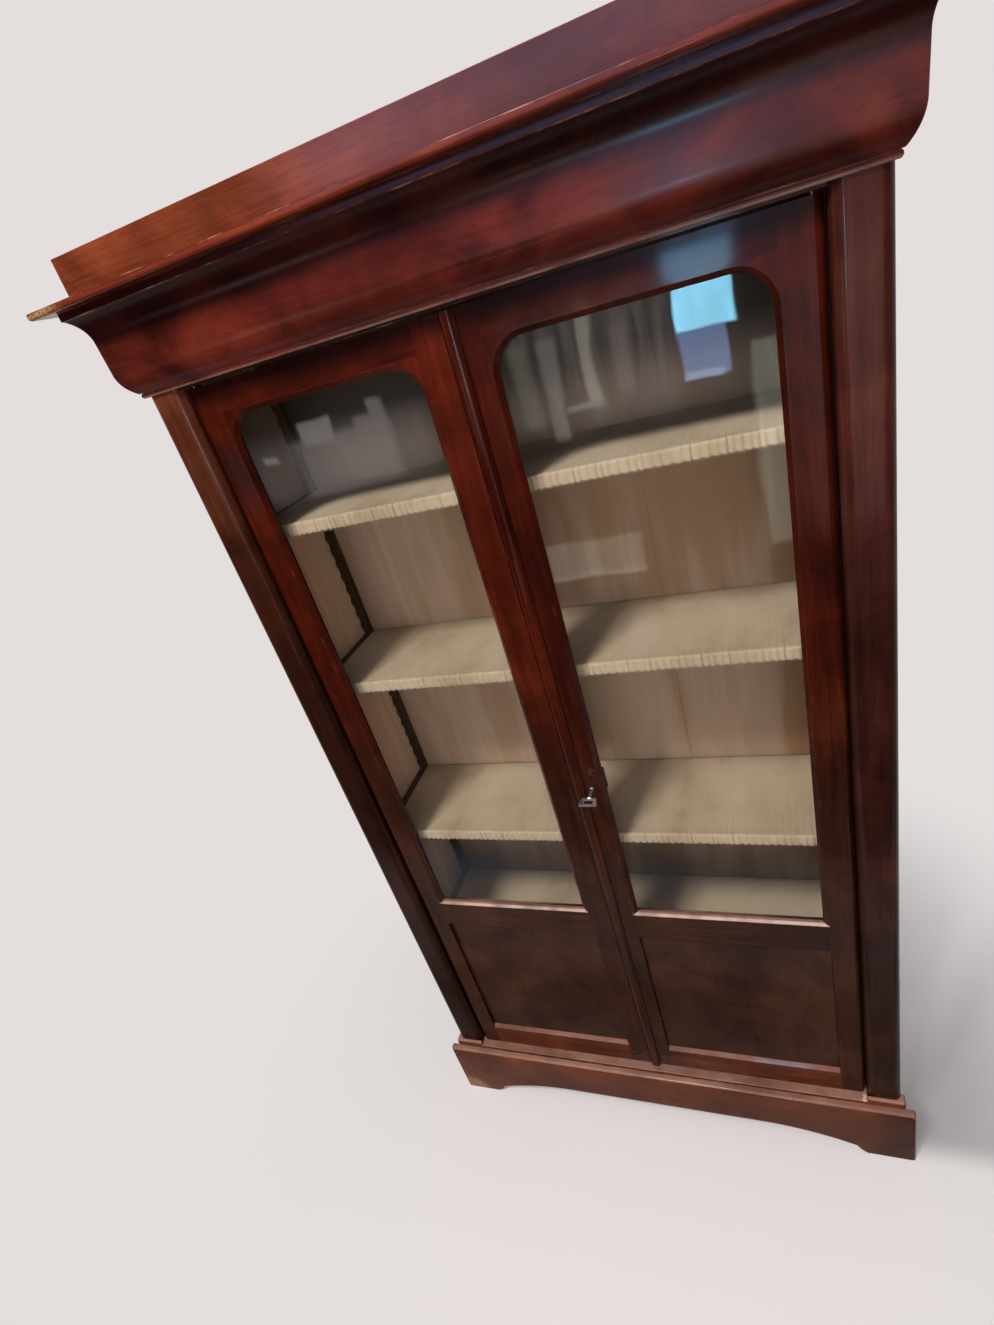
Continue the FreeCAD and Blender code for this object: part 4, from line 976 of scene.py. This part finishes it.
def pale_surround():
    """A plain pale world that lights the object softly and is dark in gloss to the front."""
    w = Shader("surround", world=True)
    bpy.context.scene.world = w.material
    depth = w.split(w.coordinates.outputs["Generated"])[Y]
    in_gloss = w.product(seen_in_gloss(w), w.span(depth, -0.55, 0.05, to_low=UNLIT))
    strength = w.math("MAXIMUM", seen_plainly(w), in_gloss)
    pale = w.node("ShaderNodeBackground", {0: (*PALE, 1), 1: strength})
    ambient = w.node("ShaderNodeBackground", {0: AMBIENT_COLOUR, 1: AMBIENT})
    seen = w.math("MAXIMUM", seen_plainly(w), seen_in_gloss(w))
    w.shows(w.blended(seen, ambient, pale))


# Lights

# Soft bright areas on an upright card behind the camera, which only gloss shows:
# left, right, low, high, softness of the edges, share of upright folds, radiance.
CARD_PATCHES = (
    (-3.00, -1.45, 1.18, 1.60, 0.08, 0.4, (1.0, 0.95, 1.0)),
    (-2.46, -1.71, 1.20, 1.56, 0.03, 0.1, (2.7, 2.5, 2.6)),
    (-2.37, -2.11, 1.52, 1.665, 0.018, 0.0, (4.4, 4.1, 4.0)),
    (-1.95, -1.72, 1.50, 1.61, 0.02, 0.0, (3.0, 2.75, 2.8)),
    (-1.83, -1.72, 1.58, 1.70, 0.02, 0.0, (3.2, 2.9, 2.9)),
    (-2.73, -2.60, 1.46, 1.51, 0.02, 0.0, (4.0, 3.7, 3.7)),
    (-0.95, 0.02, 1.28, 1.90, 0.10, 0.7, (1.5, 1.35, 1.3)),
    (-0.89, -0.80, 1.30, 1.77, 0.02, 0.1, (2.3, 2.4, 1.9)),
    (-0.73, -0.62, 1.20, 1.76, 0.02, 0.1, (2.9, 2.7, 2.6)),
    (-0.48, -0.40, 1.35, 1.88, 0.015, 0.1, (5.2, 4.8, 4.1)),
    (-0.60, -0.40, 1.345, 1.375, 0.012, 0.1, (4.2, 4.1, 4.0)),
    (-0.30, -0.21, 1.40, 1.72, 0.03, 0.1, (2.8, 2.3, 2.2)),
    (-0.92, -0.34, 0.36, 0.60, 0.015, 0.0, (2.3, 2.2, 1.9)),
    (-0.94, -0.34, 0.345, 0.385, 0.012, 0.0, (3.4, 3.2, 2.7)),
    (0.35, 0.49, 0.42, 1.50, 0.02, 0.3, (2.9, 3.3, 2.7)),
    (0.55, 1.10, 0.50, 1.90, 0.15, 0.2, (2.4, 1.6, 1.5)),
    (-0.50, 1.30, 2.12, 2.45, 0.20, 0.3, (2.4, 1.5, 2.5)),
    (0.42, 1.30, 2.12, 2.45, 0.12, 0.3, (3.8, 2.5, 3.0)),
    (-1.75, 0.90, 2.66, 3.10, 0.35, 0.0, (4.2, 4.6, 8.2)),
    (0.02, 0.15, 2.01, 2.12, 0.02, 0.2, (4.0, 2.4, 4.4)),
    (0.17, 0.34, 1.99, 2.09, 0.01, 0.2, (4.0, 4.6, 9.0)),
    (0.03, 0.245, 1.385, 1.62, 0.012, 0.1, (3.0, 5.0, 9.5)),
    (0.03, 0.215, 1.375, 1.415, 0.010, 0.0, (7.0, 9.0, 14.0)),
    (-0.01, 0.31, 1.84, 1.98, 0.015, 0.2, (9.0, 22.0, 34.0)),
    (0.035, 0.292, 1.61, 1.86, 0.010, 0.2, (10.0, 26.0, 36.0)),
)
CARD_PLANE = -3.0
CARD_LEFT, CARD_RIGHT, CARD_LOW, CARD_HIGH = -3.4, 1.6, 0.2, 3.2
CARD_FOLDS = Noise(scale=13.0, detail=3, roughness=0.6)


def bright_card():
    s = Shader("bright_card")
    place = s.split(s.place)
    folds = s.noise(CARD_FOLDS, s.stretched((1.0, 0.0, 0.10)))
    folds = s.span(folds, 0.40, 0.62, to_low=-0.75, to_high=0.35)
    colour = (0.0, 0.0, 0.0)
    for left, right, low, high, soft, folded, radiance in CARD_PATCHES:
        inside = s.product(
            s.band(place[X], left, right, soft),
            s.band(place[Z], low, high, soft),
        )
        uneven = s.math("MULTIPLY_ADD", folds, folded, 1.0)
        colour = s.mix(inside, colour, s.times(radiance, uneven))
    corners = [
        (CARD_LEFT, CARD_PLANE, CARD_HIGH),
        (CARD_RIGHT, CARD_PLANE, CARD_HIGH),
        (CARD_RIGHT, CARD_PLANE, CARD_LOW),
        (CARD_LEFT, CARD_PLANE, CARD_LOW),
    ]
    card = mesh_piece("bright_card", corners, [(0, 1, 2, 3)], s.shows(s.emission(colour)))
    for kind in ("camera", "diffuse", "transmission", "shadow"):
        setattr(card, "visible_" + kind, False)


def lamp(name, place, aim, size, radiance, colour):
    """An area lamp of a given brightness, in watts per square metre and steradian."""
    data = bpy.data.lights.new(name, "AREA")
    data.shape = "RECTANGLE"
    data.size, data.size_y = size
    data.energy = radiance * math.pi * size[0] * size[1]
    data.color = colour
    placed = bpy.data.objects.new(name, data)
    bpy.context.scene.collection.objects.link(placed)
    placed.location = place
    towards = Vector(aim) - Vector(place)
    placed.rotation_euler = towards.to_track_quat("-Z", "Y").to_euler()
    placed.visible_camera = False
    return placed


def lights():
    lamp(
        "key", place=(-1.05, -3.25, 6.3), aim=(0.0, 0.0, 1.2),
        size=(1.2, 0.9), radiance=82.0, colour=(1.0, 0.94, 0.87),
    )
    lamp(
        "overhead", place=(-0.3, -1.3, 3.9), aim=(0.0, -0.1, 1.6),
        size=(2.6, 0.5), radiance=2.0, colour=(1.0, 0.93, 0.92),
    )
    fill = lamp(
        "fill", place=(0.7, -3.6, 1.6), aim=(0.0, 0.0, 1.0),
        size=(2.6, 2.0), radiance=3.6, colour=(1.0, 0.95, 0.92),
    )
    fill.visible_glossy = False


camera()
pale_floor()
pale_surround()
bright_card()
lights()
dress_crown()
dress_doors()
dress_sides()
dress_foot()
dress_inside()
dress_fittings()
line_shelves()
bpy.context.scene.view_settings.view_transform = "Standard"
